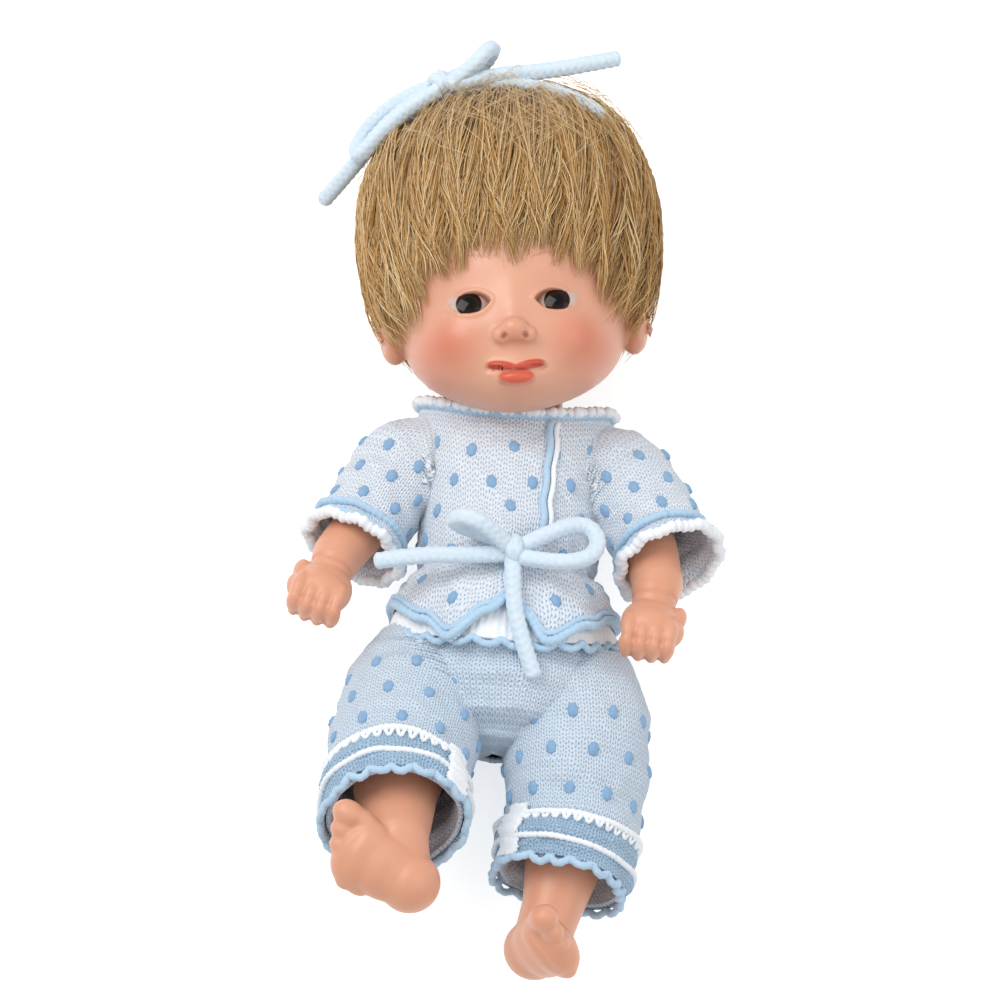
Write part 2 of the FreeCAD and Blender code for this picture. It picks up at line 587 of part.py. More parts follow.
above_table = slab(Vec(-80, -160, 0), Vec(80, 160, 120))
jacket_outer = loft_along_y(jacket_sections(0))
jacket_inner = loft_along_y(jacket_sections(-size("jacket_thickness")))
body_room = loft_along_y(torso_sections(gap))
jacket = jacket_outer.cut(jacket_inner).cut(body_room).common(above_table)
for side in (1, -1):
    center, axis = shoulder_frame(side)
    armhole = size("arm_stub_radius") + size("socket_wall") + gap + size("running_gap")
    jacket = jacket.cut(Part.makeCylinder(armhole, 12, center - axis * 8, axis))
piece("jacket_body", one_solid(jacket))
jacket_cover = loft_along_y(jacket_sections(0.8))
front_strip = slab(Vec(4.6, size("hem_y") + 0.6, axis_z + 8), Vec(8.6, size("jacket_top_y") - 3, 90))
piece("jacket_front_band", one_solid(jacket_cover.cut(jacket_outer).common(front_strip)))
top = size("jacket_top_y")
collar_rings = [(top + 0.05, 12.6, 12.0), (top + 1.2, 13.4, 12.6)]
collar = loft_along_y(collar_rings)
collar = collar.cut(loft_along_y([(top - 0.5, 9.6, 9.6), (top + 1.5, 9.9, 9.8)])).cut(full_torso)
piece("jacket_collar", one_solid(collar.cut(neck_knob)))
waist_cover = loft_along_y(jacket_sections(1.5))
waist_slice = slab(Vec(-60, size("waist_y") - 1.8, 0.05), Vec(60, size("waist_y") + 1.8, 90))
waist_cord = one_solid(waist_cover.common(waist_slice).cut(jacket_outer).cut(jacket_cover.common(
    front_strip)))
piece("waist_cord", waist_cord)

seat_y, hem_y = size("seat_y"), size("hem_y")
deep = size("torso_depth") / 2
seat_wide = size("tummy_width") / 2 + 1.6
hip_cuts = []
for side in (1, -1):
    center, axis, level = hip_frame(side)
    hip_cuts.append(half_space(center - axis * size("joint_gap"), axis))


def between_hips(shape):
    return shape.cut(hip_cuts[0]).cut(hip_cuts[1])


waistband = loft_along_y([(hem_y - 1.4, seat_wide, deep + 1.4), (hem_y - 5.6, seat_wide, deep + 1.6)])
waistband = between_hips(waistband.cut(loft_along_y(torso_sections(0.35))))
piece("trousers_waistband", one_solid(waistband))
seat = loft_along_y([(hem_y - 5.7, seat_wide, deep + 1.4), (seat_y + 17, seat_wide - 0.4, deep + 1.2),
                     (seat_y + 7, 0.86 * seat_wide, deep), (seat_y - 2, 0.5 * seat_wide, 0.62 * deep)])
seat = between_hips(seat.cut(loft_along_y(torso_sections(0.35))))
piece("trousers_seat", one_solid(seat))
lining = loft_along_y([(hem_y - 0.2, seat_wide + 2.4, deep + 3.9), (hem_y - 4.6, seat_wide + 2.6, deep + 4.1)])
lining = lining.cut(loft_along_y([(hem_y, seat_wide + 1.4, deep + 2.7),
                                  (hem_y - 5, seat_wide + 1.6, deep + 2.9)]))
lining = between_hips(lining).common(slab(Vec(-60, -160, axis_z + 9), Vec(60, 60, 90)))
piece("inner_hem", one_solid(lining))


# ---------------------------------------------------------------- corded ties
def tube(name, route, thickness):
    """Cord along straight runs joined by tangent arcs, with its length and radii printed."""
    runs = [route[0]]
    edges, radii = [], []
    for before, corner, after in zip(route, route[1:], route[2:]):
        back_run, on_run = (before - corner), (after - corner)
        turn = on_run.getAngle(back_run * -1)
        reach = 0.45 * min(back_run.Length, on_run.Length)
        radii.append(round(reach / tan(turn / 2), 1))
        arc_start = corner + back_run.normalize() * reach
        arc_end = corner + on_run.normalize() * reach
        bisector = (arc_start + arc_end) * 0.5 - corner
        radius = reach / tan(turn / 2)
        depth = radius / cos(turn / 2) - radius
        middle = corner + bisector.normalize() * depth
        edges.append(Part.LineSegment(runs[-1], arc_start).toShape())
        edges.append(Part.Arc(arc_start, middle, arc_end).toShape())
        runs.append(arc_end)
    edges.append(Part.LineSegment(runs[-1], route[-1]).toShape())
    path = Part.Wire(edges)
    start_dir = route[1] - route[0]
    ring = Part.Wire([Part.Circle(route[0], start_dir, thickness / 2).toShape()])
    solid = path.makePipeShell([ring], True, True)
    ideal = path.Length * pi * thickness ** 2 / 4
    print(name, "length", round(path.Length, 1), "radii", radii,
          "volume share", round(one_solid(solid).Volume / ideal, 3))
    return one_solid(solid)


cord = size("cord_size")
ties = {
    "waist_loop_right": [Vec(2.5, -24, 47), Vec(11, -19, 47.5), Vec(17.5, -16.6, 45),
                         Vec(21, -20.6, 45.6), Vec(19, -25.8, 47.6), Vec(11, -27.8, 49),
                         Vec(3, -26.5, 48)],
    "waist_loop_left": [Vec(0, -23.6, 46), Vec(-5.5, -20.8, 45.6), Vec(-10.5, -19.5, 45.8),
                        Vec(-13, -19.3, 50.1), Vec(-10.5, -19.5, 54.5), Vec(-5.5, -21, 54.3),
                        Vec(0, -24.2, 48.5)],
    "waist_tail_left": [Vec(0, -25.4, 46.2), Vec(-10, -26.8, 47.2), Vec(-20, -27, 46.6),
                        Vec(-30.2, -28.8, 44.5)],
    "waist_tail_down": [Vec(1.2, -24.6, 47.2), Vec(1.6, -34.5, 47.4), Vec(3.8, -44, 46.2),
                        Vec(8, -53.6, 43.8)],
}
waist_knot = ellipsoid(Vec(0.8, -25.2, 46.4), 3.7, 3.9, 3.2)
waist_knot = waist_knot.cut(jacket_outer).cut(waist_cord)
for name, route in ties.items():
    piece(name, tube(name, route, cord))
piece("waist_knot", one_solid(waist_knot))
head_ties = {
    "headband_loop_left": [Vec(-13, 90.9, 50.1), Vec(-21, 90.1, 47.2), Vec(-29, 86.4, 43.3),
                           Vec(-33.8, 82.4, 40.1), Vec(-34.4, 77.9, 41.8), Vec(-32, 76.5, 46),
                           Vec(-27, 80.5, 49.3), Vec(-19, 85.4, 52.3), Vec(-12.8, 88.1, 53.1)],
    "headband_tail_left": [Vec(-15.1, 89.4, 50.5), Vec(-25.8, 84, 47.3), Vec(-35.1, 76.6, 38.5),
                           Vec(-44.3, 71.7, 29.4)],
    "headband_loop_right": [Vec(-12.1, 91.6, 49.7), Vec(-6.5, 94.3, 48.2), Vec(-2.4, 96.3, 47.4),
                            Vec(0.5, 98.3, 51.7), Vec(-0.8, 96.3, 56.4), Vec(-4.7, 92.1, 56),
                            Vec(-10.7, 89.3, 52.7)],
    "headband_tail_right": [Vec(-10.5, 88.9, 53.3), Vec(0.5, 90.8, 53.2), Vec(10.8, 92, 50.4),
                            Vec(20.1, 93.8, 48.2), Vec(29.8, 96, 46.1)],
}
head_knot = ellipsoid(Vec(-12.6, 90.2, 51.2), 4.0, 3.6, 4.2).cut(band_outer)
for name, route in head_ties.items():
    strand = tube(name, route, cord)
    headband = headband.cut(strand)
    head_piece(name, strand)
head_piece("headband", one_solid(headband))
head_piece("headband_knot", one_solid(head_knot))


# ---------------------------------------------------------------- checks and export
doc.recompute()
for obj in doc.Objects:
    if "Invalid" in obj.State or "Error" in obj.State:
        raise RuntimeError("failed: " + obj.Name)
for name, obj in pieces.items():
    if obj.Shape.isNull() or not obj.Shape.isValid():
        raise RuntimeError("bad shape: " + name)
for name, obj in pieces.items():
    obj.Shape.exportStep("parts/" + name + ".step")
    print(name, len(obj.Shape.Solids), round(obj.Shape.Volume, 1))
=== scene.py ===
# Baby doll in knitted pyjamas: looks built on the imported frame
import bpy, math, random
from mathutils import Vector, Matrix, Quaternion, noise


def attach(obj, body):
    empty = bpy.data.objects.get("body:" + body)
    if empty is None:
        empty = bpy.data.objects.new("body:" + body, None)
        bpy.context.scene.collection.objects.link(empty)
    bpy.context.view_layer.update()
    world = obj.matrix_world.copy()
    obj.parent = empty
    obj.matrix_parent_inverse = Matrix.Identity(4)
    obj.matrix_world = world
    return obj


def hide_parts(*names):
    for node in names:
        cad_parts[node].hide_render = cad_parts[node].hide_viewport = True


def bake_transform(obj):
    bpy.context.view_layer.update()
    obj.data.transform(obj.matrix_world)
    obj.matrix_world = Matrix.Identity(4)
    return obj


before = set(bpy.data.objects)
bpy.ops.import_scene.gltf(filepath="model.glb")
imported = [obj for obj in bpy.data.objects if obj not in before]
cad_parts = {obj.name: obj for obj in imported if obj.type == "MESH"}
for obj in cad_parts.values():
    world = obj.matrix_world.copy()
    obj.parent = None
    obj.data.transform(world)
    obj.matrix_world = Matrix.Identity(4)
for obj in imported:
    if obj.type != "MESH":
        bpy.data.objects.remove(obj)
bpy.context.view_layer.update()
bpy.ops.object.select_all(action="DESELECT")
mm = 0.001
print("frame loaded")

# --- view: light, floor and camera
view = {
    "target": (-2.5, -5.8, 25), "distance": 881, "elevation": 72, "roll": 3.7, "lens": 135,
    "keyPower": 4.2, "fillPower": 1.6, "worldLevel": 0.6,
}


def aim(obj, target, roll=0.0):
    direction = Vector(target) - obj.location
    turn = direction.to_track_quat("-Z", "Y")
    obj.rotation_euler = (turn @ Quaternion((0, 0, 1), roll)).to_euler()


def setUpView():
    scene = bpy.context.scene
    scene.view_settings.view_transform = "Standard"
    up = math.radians(view["elevation"])
    target = Vector(view["target"]) * mm
    place = target + Vector((0, -math.cos(up), math.sin(up))) * view["distance"] * mm
    bpy.ops.object.camera_add(location=place)
    camera = bpy.context.object
    camera.data.lens = view["lens"]
    aim(camera, target, math.radians(view["roll"]))
    scene.camera = camera
    lamps = (("key", (-0.42, 0.25, 0.75), 0.55, view["keyPower"]),
             ("fill", (0.55, -0.15, 0.6), 0.7, view["fillPower"]))
    for name, spot, width, power in lamps:
        bpy.ops.object.light_add(type="AREA", location=spot)
        lamp = bpy.context.object
        lamp.name = name
        lamp.data.size = width
        lamp.data.energy = power
        aim(lamp, (0, 0, 0.02))
    world = bpy.data.worlds.new("studio")
    scene.world = world
    world.use_nodes = True
    world.node_tree.nodes["Background"].inputs["Color"].default_value = (1, 1, 1, 1)
    world.node_tree.nodes["Background"].inputs["Strength"].default_value = view["worldLevel"]
    bpy.ops.mesh.primitive_plane_add(size=4, location=(0, 0, -0.0004))
    floor = bpy.context.object
    floor.name = "studioFloor"
    floor.data.materials.append(whitePaper())


# --- materials
def linear(hexColour):
    parts = [int(hexColour[i:i + 2], 16) / 255 for i in (1, 3, 5)]
    return [c / 12.92 if c <= 0.04045 else ((c + 0.055) / 1.055) ** 2.4 for c in parts] + [1.0]


def addNode(tree, kind, settings=None, links=None):
    # settings by attribute or socket, links as {input: (node, output)}
    node = tree.nodes.new(kind)
    for key, value in (settings or {}).items():
        if isinstance(key, str) and hasattr(node, key):
            setattr(node, key, value)
        else:
            node.inputs[key].default_value = value
    for key, (source, output) in (links or {}).items():
        tree.links.new(source.outputs[output], node.inputs[key])
    return node


def newMaterial(name, settings):
    material = bpy.data.materials.new(name)
    material.use_nodes = True
    tree = material.node_tree
    shader = tree.nodes["Principled BSDF"]
    for key, value in settings.items():
        shader.inputs[key].default_value = value
    return material, tree, shader


def link(tree, source, output, node, socket):
    tree.links.new(source.outputs[output], node.inputs[socket])


def whitePaper():
    # seamless white paper: pure white to the lens and in reflections, soft shadow kept
    material, tree, shader = newMaterial("whitePaper", {"Roughness": 0.9, "Base Color": linear("#F4F4F4")})
    path = addNode(tree, "ShaderNodeLightPath")
    glow = addNode(tree, "ShaderNodeEmission", {"Color": (1, 1, 1, 1), "Strength": 0.55})
    seen = addNode(tree, "ShaderNodeMath", {"operation": "MAXIMUM"},
                   {0: (path, "Is Camera Ray"), 1: (path, "Is Glossy Ray")})
    seen = addNode(tree, "ShaderNodeMath", {"operation": "MAXIMUM"},
                   {0: (seen, 0), 1: (path, "Is Transmission Ray")})
    both = addNode(tree, "ShaderNodeAddShader", None, {0: (shader, 0), 1: (glow, 0)})
    mix = addNode(tree, "ShaderNodeMixShader", None, {0: (seen, 0), 1: (shader, 0), 2: (both, 0)})
    link(tree, mix, 0, tree.nodes["Material Output"], "Surface")
    return material


def softNoise(tree, coord, scale, detail=2.0):
    return addNode(tree, "ShaderNodeTexNoise", {"Scale": scale, "Detail": detail}, {"Vector": coord})


def vinylSkin(name, base):
    # soft vinyl, slush moulded: satin sheen with a little light coming through
    material, tree, shader = newMaterial(name, {
        "Roughness": 0.42, "IOR": 1.5, "Subsurface Weight": 0.16,
        "Subsurface Radius": (0.9, 0.45, 0.3), "Subsurface Scale": 0.004,
        "Coat Weight": 0.12, "Coat Roughness": 0.35})
    coord = addNode(tree, "ShaderNodeTexCoord")
    mottle = softNoise(tree, (coord, "Object"), 90)
    tint = addNode(tree, "ShaderNodeMix", {"data_type": "RGBA", 6: linear(base[0]), 7: linear(base[1])},
                   {0: (mottle, "Fac")})
    link(tree, tint, 2, shader, "Base Color")
    grain = softNoise(tree, (coord, "Object"), 1400)
    bump = addNode(tree, "ShaderNodeBump", {"Strength": 0.05, "Distance": 0.0004},
                   {"Height": (grain, "Fac")})
    link(tree, bump, 0, shader, "Normal")
    return material


def stockinette(name, yarn, shade, columns, rows, depth=1.0):
    # fine acrylic knit: columns of V stitches, each with painted shade in its small hole, laid out on the UV
    # map
    material, tree, shader = newMaterial(name, {"Roughness": 0.85, "Sheen Weight": 0.25,
                                                "Sheen Roughness": 0.4, "Specular IOR Level": 0.2})
    coord = addNode(tree, "ShaderNodeUVMap", {"uv_map": "UVMap"})
    whole = addNode(tree, "ShaderNodeTexCoord")
    wobble = softNoise(tree, (whole, "Object"), 260)
    split = addNode(tree, "ShaderNodeSeparateXYZ", None, {0: (coord, 0)})
    across = addNode(tree, "ShaderNodeMath", {"operation": "MULTIPLY_ADD", 1: columns},
                     {0: (split, 0), 2: (wobble, "Fac")})
    along = addNode(tree, "ShaderNodeMath", {"operation": "MULTIPLY_ADD", 1: rows},
                    {0: (split, 1), 2: (wobble, "Fac")})
    inColumn = addNode(tree, "ShaderNodeMath", {"operation": "FRACT"}, {0: (across, 0)})
    fromMiddle = addNode(tree, "ShaderNodeMath", {"operation": "SUBTRACT", 1: 0.5}, {0: (inColumn, 0)})
    aside = addNode(tree, "ShaderNodeMath", {"operation": "ABSOLUTE"}, {0: (fromMiddle, 0)})
    slant = addNode(tree, "ShaderNodeMath", {"operation": "MULTIPLY_ADD", 1: -1.4},
                    {0: (aside, 0), 2: (along, 0)})
    phase = addNode(tree, "ShaderNodeMath", {"operation": "MULTIPLY", 1: 6.2832}, {0: (slant, 0)})
    ply = addNode(tree, "ShaderNodeMath", {"operation": "SINE"}, {0: (phase, 0)})
    legs = addNode(tree, "ShaderNodeMath", {"operation": "PINGPONG", 1: 0.25}, {0: (aside, 0)})
    leg = addNode(tree, "ShaderNodeMapRange", {1: 0.0, 2: 0.22, 3: 0.0, 4: 1.0,
                  "interpolation_type": "SMOOTHSTEP"}, {0: (legs, 0)})
    height = addNode(tree, "ShaderNodeMath", {"operation": "MULTIPLY_ADD", 1: 0.35},
                     {0: (ply, 0), 2: (leg, 0)})
    # painted shade: the yarn turns to the shade colour where the stitch height is low, in the holes
    paintedStitchShade = addNode(tree, "ShaderNodeMapRange", {1: 0.12, 2: -0.3, 3: 0.0, 4: 1.0,
                   "interpolation_type": "SMOOTHSTEP"}, {0: (height, 0)})
    broad = softNoise(tree, (whole, "Object"), 45, 3.0)
    tint = addNode(tree, "ShaderNodeMix", {"data_type": "RGBA", 6: linear(yarn[0]), 7: linear(yarn[1])},
                   {0: (broad, "Fac")})
    dark = addNode(tree, "ShaderNodeMix", {"data_type": "RGBA", 7: linear(shade)},
                   {0: (paintedStitchShade, 0), 6: (tint, 2)})
    link(tree, dark, 2, shader, "Base Color")
    bump = addNode(tree, "ShaderNodeBump", {"Strength": 0.6 * depth, "Distance": 0.0005},
                   {"Height": (height, 0)})
    link(tree, bump, 0, shader, "Normal")
    return material


def softYarn(name, colours):
    # brushed acrylic yarn: short fibres along the ply, matte with a soft sheen
    material, tree, shader = newMaterial(name, {"Roughness": 0.88, "Sheen Weight": 0.3,
                                                "Sheen Roughness": 0.45, "Specular IOR Level": 0.15})
    coord = addNode(tree, "ShaderNodeTexCoord")
    fibre = softNoise(tree, (coord, "Object"), 900, 3.0)
    tint = addNode(tree, "ShaderNodeMix", {"data_type": "RGBA", 6: linear(colours[0]),
                   7: linear(colours[1])}, {0: (fibre, "Fac")})
    link(tree, tint, 2, shader, "Base Color")
    bump = addNode(tree, "ShaderNodeBump", {"Strength": 0.5, "Distance": 0.0003},
                   {"Height": (fibre, "Fac")})
    link(tree, bump, 0, shader, "Normal")
    return material


# --- shaping helpers
def finishMesh(obj, name, material):
    obj.name = name
    obj.data.name = name
    obj.data.materials.clear()
    obj.data.materials.append(material)
    bpy.ops.object.select_all(action="DESELECT")
    obj.select_set(True)
    bpy.context.view_layer.objects.active = obj
    bpy.ops.object.transform_apply(location=True, rotation=True, scale=True)
    bpy.ops.object.shade_smooth()
    return obj


def wrapGrid(name, across, along, place, material, thickness=0.0):
    # a grid bent round the form: place(u, v) gives a point in mm, u round it, v along it
    bpy.ops.mesh.primitive_grid_add(x_subdivisions=across, y_subdivisions=along, size=1, calc_uvs=True)
    obj = bpy.context.object
    for vertex in obj.data.vertices:
        vertex.co = Vector(place(vertex.co.x + 0.5, vertex.co.y + 0.5)) * mm
    bpy.ops.object.mode_set(mode="EDIT")
    bpy.ops.mesh.select_all(action="SELECT")
    bpy.ops.mesh.remove_doubles(threshold=0.00002)
    bpy.ops.mesh.normals_make_consistent(inside=False)
    bpy.ops.object.mode_set(mode="OBJECT")
    finishMesh(obj, name, material)
    if thickness:
        solid = obj.modifiers.new("cloth", "SOLIDIFY")
        solid.thickness = thickness * mm
        solid.offset = -1
        bpy.ops.object.modifier_apply(modifier="cloth")
    return obj


def egg(center, radii, turn=None, segments=32, rings=20):
    # one lump of clay for a sculpted form: centre and radii in mm
    bpy.ops.mesh.primitive_uv_sphere_add(segments=segments, ring_count=rings, radius=1)
    obj = bpy.context.object
    matrix = Matrix.Translation(Vector(center) * mm)
    if turn is not None:
        matrix = matrix @ turn.to_matrix().to_4x4()
    matrix = matrix @ Matrix.Diagonal((*(Vector(radii) * mm), 1))
    obj.matrix_world = matrix
    bpy.ops.object.transform_apply(location=True, rotation=True, scale=True)
    return obj


def joinClay(lumps, name, material, grain, smoothing, keep=0.5):
    # lumps joined into one skin, remeshed at grain mm and smoothed
    bpy.ops.object.select_all(action="DESELECT")
    for lump in lumps:
        lump.select_set(True)
    bpy.context.view_layer.objects.active = lumps[0]
    bpy.ops.object.join()
    obj = bpy.context.object
    remesh = obj.modifiers.new("skin", "REMESH")
    remesh.mode = "VOXEL"
    remesh.voxel_size = grain * mm
    bpy.ops.object.modifier_apply(modifier="skin")
    smooth = obj.modifiers.new("soften", "SMOOTH")
    smooth.factor = keep
    smooth.iterations = smoothing
    bpy.ops.object.modifier_apply(modifier="soften")
    return finishMesh(obj, name, material)


def sink(obj, grooves):
    # press creases into a skin: each groove is a line of points, a depth and a width in mm
    for points, depth, width in grooves:
        line = [Vector(p) * mm for p in points]
        for vertex in obj.data.vertices:
            nearest = min(distanceTo(vertex.co, a, b) for a, b in zip(line, line[1:]))
            if nearest < 3 * width * mm:
                vertex.co -= vertex.normal * depth * mm * math.exp(-(nearest / (width * mm)) ** 2)


def restTurn(turn, tilt):
    # a head's turn about its long axis and then its tilt on the neck, in degrees
    return Matrix.Rotation(math.radians(tilt), 3, "Z") @ Matrix.Rotation(math.radians(turn), 3, "Y")


def distanceTo(point, start, end):
    run = end - start
    share = max(0.0, min(1.0, (point - start).dot(run) / run.length_squared))
    return (point - start - run * share).length


# --- corded ties: knitted cord of about 4 mm, laid along its own route
ties = {
    "thickness": 3.9, "stitch": 1.9,
    "waist": {
        "waist_loop_right": [(2.5, -24, 47), (11, -19, 47.5), (17.5, -16.6, 45), (21, -20.6, 45.6),
                             (19, -25.8, 47.6), (11, -27.8, 49), (3, -26.5, 48)],
        "waist_loop_left": [(0, -23.6, 46), (-5.5, -20.8, 45.6), (-10.5, -19.5, 45.8), (-13, -19.3, 50.1),
                            (-10.5, -19.5, 54.5), (-5.5, -21, 54.3), (0, -24.2, 48.5)],
        "waist_tail_left": [(0, -25.4, 46.2), (-10, -26.8, 47.2), (-20, -27, 46.6), (-30.2, -28.8, 44.5)],
        "waist_tail_down": [(1.2, -24.6, 47.2), (1.6, -34.5, 47.4), (3.8, -44, 46.2), (8, -53.6, 43.8)]},
    "head": {
        "headband_loop_left": [(-13, 90.9, 50.1), (-21, 90.1, 47.2), (-29, 86.4, 43.3), (-33.8, 82.4, 40.1),
                               (-34.4, 77.9, 41.8), (-32, 76.5, 46), (-27, 80.5, 49.3), (-19, 85.4, 52.3),
                               (-12.8, 88.1, 53.1)],
        "headband_tail_left": [(-15.1, 89.4, 50.5), (-25.8, 84, 47.3), (-35.1, 76.6, 38.5),
                               (-44.3, 71.7, 29.4)],
        "headband_loop_right": [(-12.1, 91.6, 49.7), (-6.5, 94.3, 48.2), (-2.4, 96.3, 47.4),
                                (0.5, 98.3, 51.7), (-0.8, 96.3, 56.4), (-4.7, 92.1, 56),
                                (-10.7, 89.3, 52.7)],
        "headband_tail_right": [(-10.5, 88.9, 53.3), (0.5, 90.8, 53.2), (10.8, 92, 50.4), (20.1, 93.8, 48.2),
                                (29.8, 96, 46.1)]},
    "headTurn": -6.0, "headTilt": 6.0, "neck": (0, 19, 24),
}


def turnedWithHead(point):
    neck = Vector(ties["neck"])
    return neck + restTurn(ties["headTurn"], ties["headTilt"]) @ (Vector(point) - neck)


def smoothRoute(points):
    # the route's own NURBS line, as evenly read points
    data = bpy.data.curves.new("route", "CURVE")
    data.dimensions = "3D"
    data.resolution_u = 16
    spline = data.splines.new("NURBS")
    spline.points.add(len(points) - 1)
    for spot, point in zip(spline.points, points):
        spot.co = (*(Vector(point) * mm), 1)
    spline.order_u = 3
    spline.use_endpoint_u = True
    obj = bpy.data.objects.new("route", data)
    bpy.context.collection.objects.link(obj)
    mesh = bpy.data.meshes.new_from_object(obj)
    line = [v.co.copy() for v in mesh.vertices]
    bpy.data.objects.remove(obj)
    bpy.data.meshes.remove(mesh)
    return line


def evenly(line, step):
    lengths = [0.0]
    for a, b in zip(line, line[1:]):
        lengths.append(lengths[-1] + (b - a).length)
    count = max(2, round(lengths[-1] / step))
    spots, index = [], 0
    for number in range(count + 1):
        want = lengths[-1] * number / count
        while index < len(line) - 2 and lengths[index + 1] < want:
            index += 1
        share = (want - lengths[index]) / max(lengths[index + 1] - lengths[index], 1e-9)
        spots.append(line[index].lerp(line[index + 1], share))
    return spots, lengths[-1]


def frames(spots):
    # a level side vector carried along the line without twist
    result, side = [], None
    for index, spot in enumerate(spots):
        along = (spots[min(index + 1, len(spots) - 1)] - spots[max(index - 1, 0)]).normalized()
        if side is None:
            side = along.cross(Vector((0, 0, 1)))
            if side.length < 0.1:
                side = along.cross(Vector((1, 0, 0)))
        side = (side - along * side.dot(along)).normalized()
        result.append((spot, along, side, along.cross(side)))
    return result


def meshFrom(name, verts, faces, material, uvs=None):
    mesh = bpy.data.meshes.new(name)
    mesh.from_pydata(verts, [], faces)
    if uvs:
        layer = mesh.uv_layers.new(name="UVMap")
        for loop in mesh.loops:
            layer.data[loop.index].uv = uvs[loop.vertex_index]
    mesh.materials.append(material)
    obj = bpy.data.objects.new(name, mesh)
    bpy.context.collection.objects.link(obj)
    for polygon in mesh.polygons:
        polygon.use_smooth = True
    return obj


def knittedCord(name, points, thickness, material, cutEnd=False):
    # knitted cord: five columns of V stitches stand out round the tube
    line = smoothRoute(points)
    spots, length = evenly(line, 0.24 * mm)
    sides, verts, uvs, faces = 24, [], [], []
    for row, (spot, along, side, up) in enumerate(frames(spots)):
        distance = length * row / (len(spots) - 1) / mm
        edge = min(distance, length / mm - distance)
        for column in range(sides + 1):
            angle = 2 * math.pi * column / sides
            stitches = 5 * angle / (2 * math.pi)
            aside = abs(stitches % 1 - 0.5)
            ply = math.sin(2 * math.pi * (distance / ties["stitch"] - aside * 1.3))
            lift = 0.10 * ply + 0.16 * min(aside * 4, 1)
            radius = (thickness / 2 - 0.17 + lift) * mm
            if cutEnd and edge < 0.8 and row > len(spots) - 10:
                radius *= 0.55 + 0.45 * math.sqrt(edge / 0.8)
            verts.append(spot + (side * math.cos(angle) + up * math.sin(angle)) * radius)
            uvs.append((column / sides, distance / 30))
    for row in range(len(spots) - 1):
        for column in range(sides):
            a = row * (sides + 1) + column
            faces.append((a, a + 1, a + sides + 2, a + sides + 1))
    for row, turn in ((0, -1), (len(spots) - 1, 1)):
        verts.append(spots[0 if row == 0 else -1])
        uvs.append((0.5, 0))
        ring = [row * (sides + 1) + c for c in range(sides + 1)]
        for a, b in zip(ring, ring[1:]):
            faces.append((a, b, len(verts) - 1) if turn > 0 else (b, a, len(verts) - 1))
    obj = meshFrom(name, verts, faces, material, uvs)
    bpy.ops.object.select_all(action="DESELECT")
    obj.select_set(True)
    bpy.context.view_layer.objects.active = obj
    bpy.ops.object.mode_set(mode="EDIT")
    bpy.ops.mesh.select_all(action="SELECT")
    bpy.ops.mesh.remove_doubles(threshold=0.000004)
    bpy.ops.mesh.normals_make_consistent(inside=False)
    bpy.ops.object.mode_set(mode="OBJECT")
    return obj, line, length


def makeTies(yarn):
    for body, group in (("torso", ties["waist"]), ("head", ties["head"])):
        for name, points in group.items():
            if body == "head":
                points = [turnedWithHead(p) for p in points]
            isLoop = "loop" in name
            obj, line, length = knittedCord(name + "_cord", points, ties["thickness"], yarn, not isLoop)
            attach(obj, body)
            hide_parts(name)
    print("ties made")


# --- head: slush-moulded vinyl with a painted face
# its face looks a little straighter ahead than the ties on it are turned
head = {
    "chin": 9.4, "length": 84.0, "middle": 31.8, "turn": -2.0, "tilt": 6.0, "neck": (0, 19, 24),
    "eye": (9.7, 30.7), "opening": (4.3, 2.25), "eyeball": (10.1, 30.5, 54.0), "eyeRadius": 6.9,
    "irisRadius": 3.0,
    "skin": ("#E4AC90", "#DDA184"), "lip": "#C8472A", "blush": "#D4694C",
}
# share of the length from the chin, half width, half depth, rise of the middle
headRows = [(-0.004, 0.0, 0.0, 14.6), (0.0, 4.2, 3.6, 14.5), (0.03, 11.1, 9.0, 14.0),
            (0.08, 18.6, 14.1, 12.0), (0.15, 23.9, 19.2, 9.5), (0.25, 26.5, 23.7, 6.5),
            (0.36, 28.3, 27.6, 3.2),
            (0.48, 29.6, 29.7, 1.0), (0.62, 30.0, 30.0, 0.0), (0.75, 27.9, 27.9, -0.5),
            (0.87, 22.5, 22.5, -0.8), (0.95, 14.7, 14.7, -1.0), (0.985, 7.6, 7.6, -1.0),
            (1.0, 0.0, 0.0, -1.0)]


def between(rows, share):
    # smooth value of each column at share, through the rows around it
    index = 0
    while index < len(rows) - 2 and rows[index + 1][0] < share:
        index += 1
    r0, r1 = rows[max(index - 1, 0)], rows[index]
    r2, r3 = rows[index + 1], rows[min(index + 2, len(rows) - 1)]
    t = max(0.0, min(1.0, (share - r1[0]) / (r2[0] - r1[0])))
    result = []
    for c in range(1, len(r1)):
        before = (r2[c] - r0[c]) / max(r2[0] - r0[0], 1e-6) * (r2[0] - r1[0])
        after = (r3[c] - r1[c]) / max(r3[0] - r1[0], 1e-6) * (r2[0] - r1[0])
        result.append((2 * t ** 3 - 3 * t ** 2 + 1) * r1[c] + (t ** 3 - 2 * t ** 2 + t) * before
                      + (3 * t ** 2 - 2 * t ** 3) * r2[c] + (t ** 3 - t ** 2) * after)
    return result


def headPoint(u, v):
    share = (1 - math.cos(math.pi * v)) / 2 * 1.004 - 0.004
    half, deep, rise = between(headRows, share)
    angle = 2 * math.pi * u
    x, z = half * math.cos(angle), head["middle"] + rise + deep * math.sin(angle)
    return Vector((x, head["chin"] + share * head["length"], z))


def swell(point, center, reach, amount):
    # soft bump or hollow on the front of the face
    x, y = (point.x - center[0]) / reach[0], (point.y - center[1]) / reach[1]
    if point.z > 36:
        point.z += amount * math.exp(-(x * x + y * y))


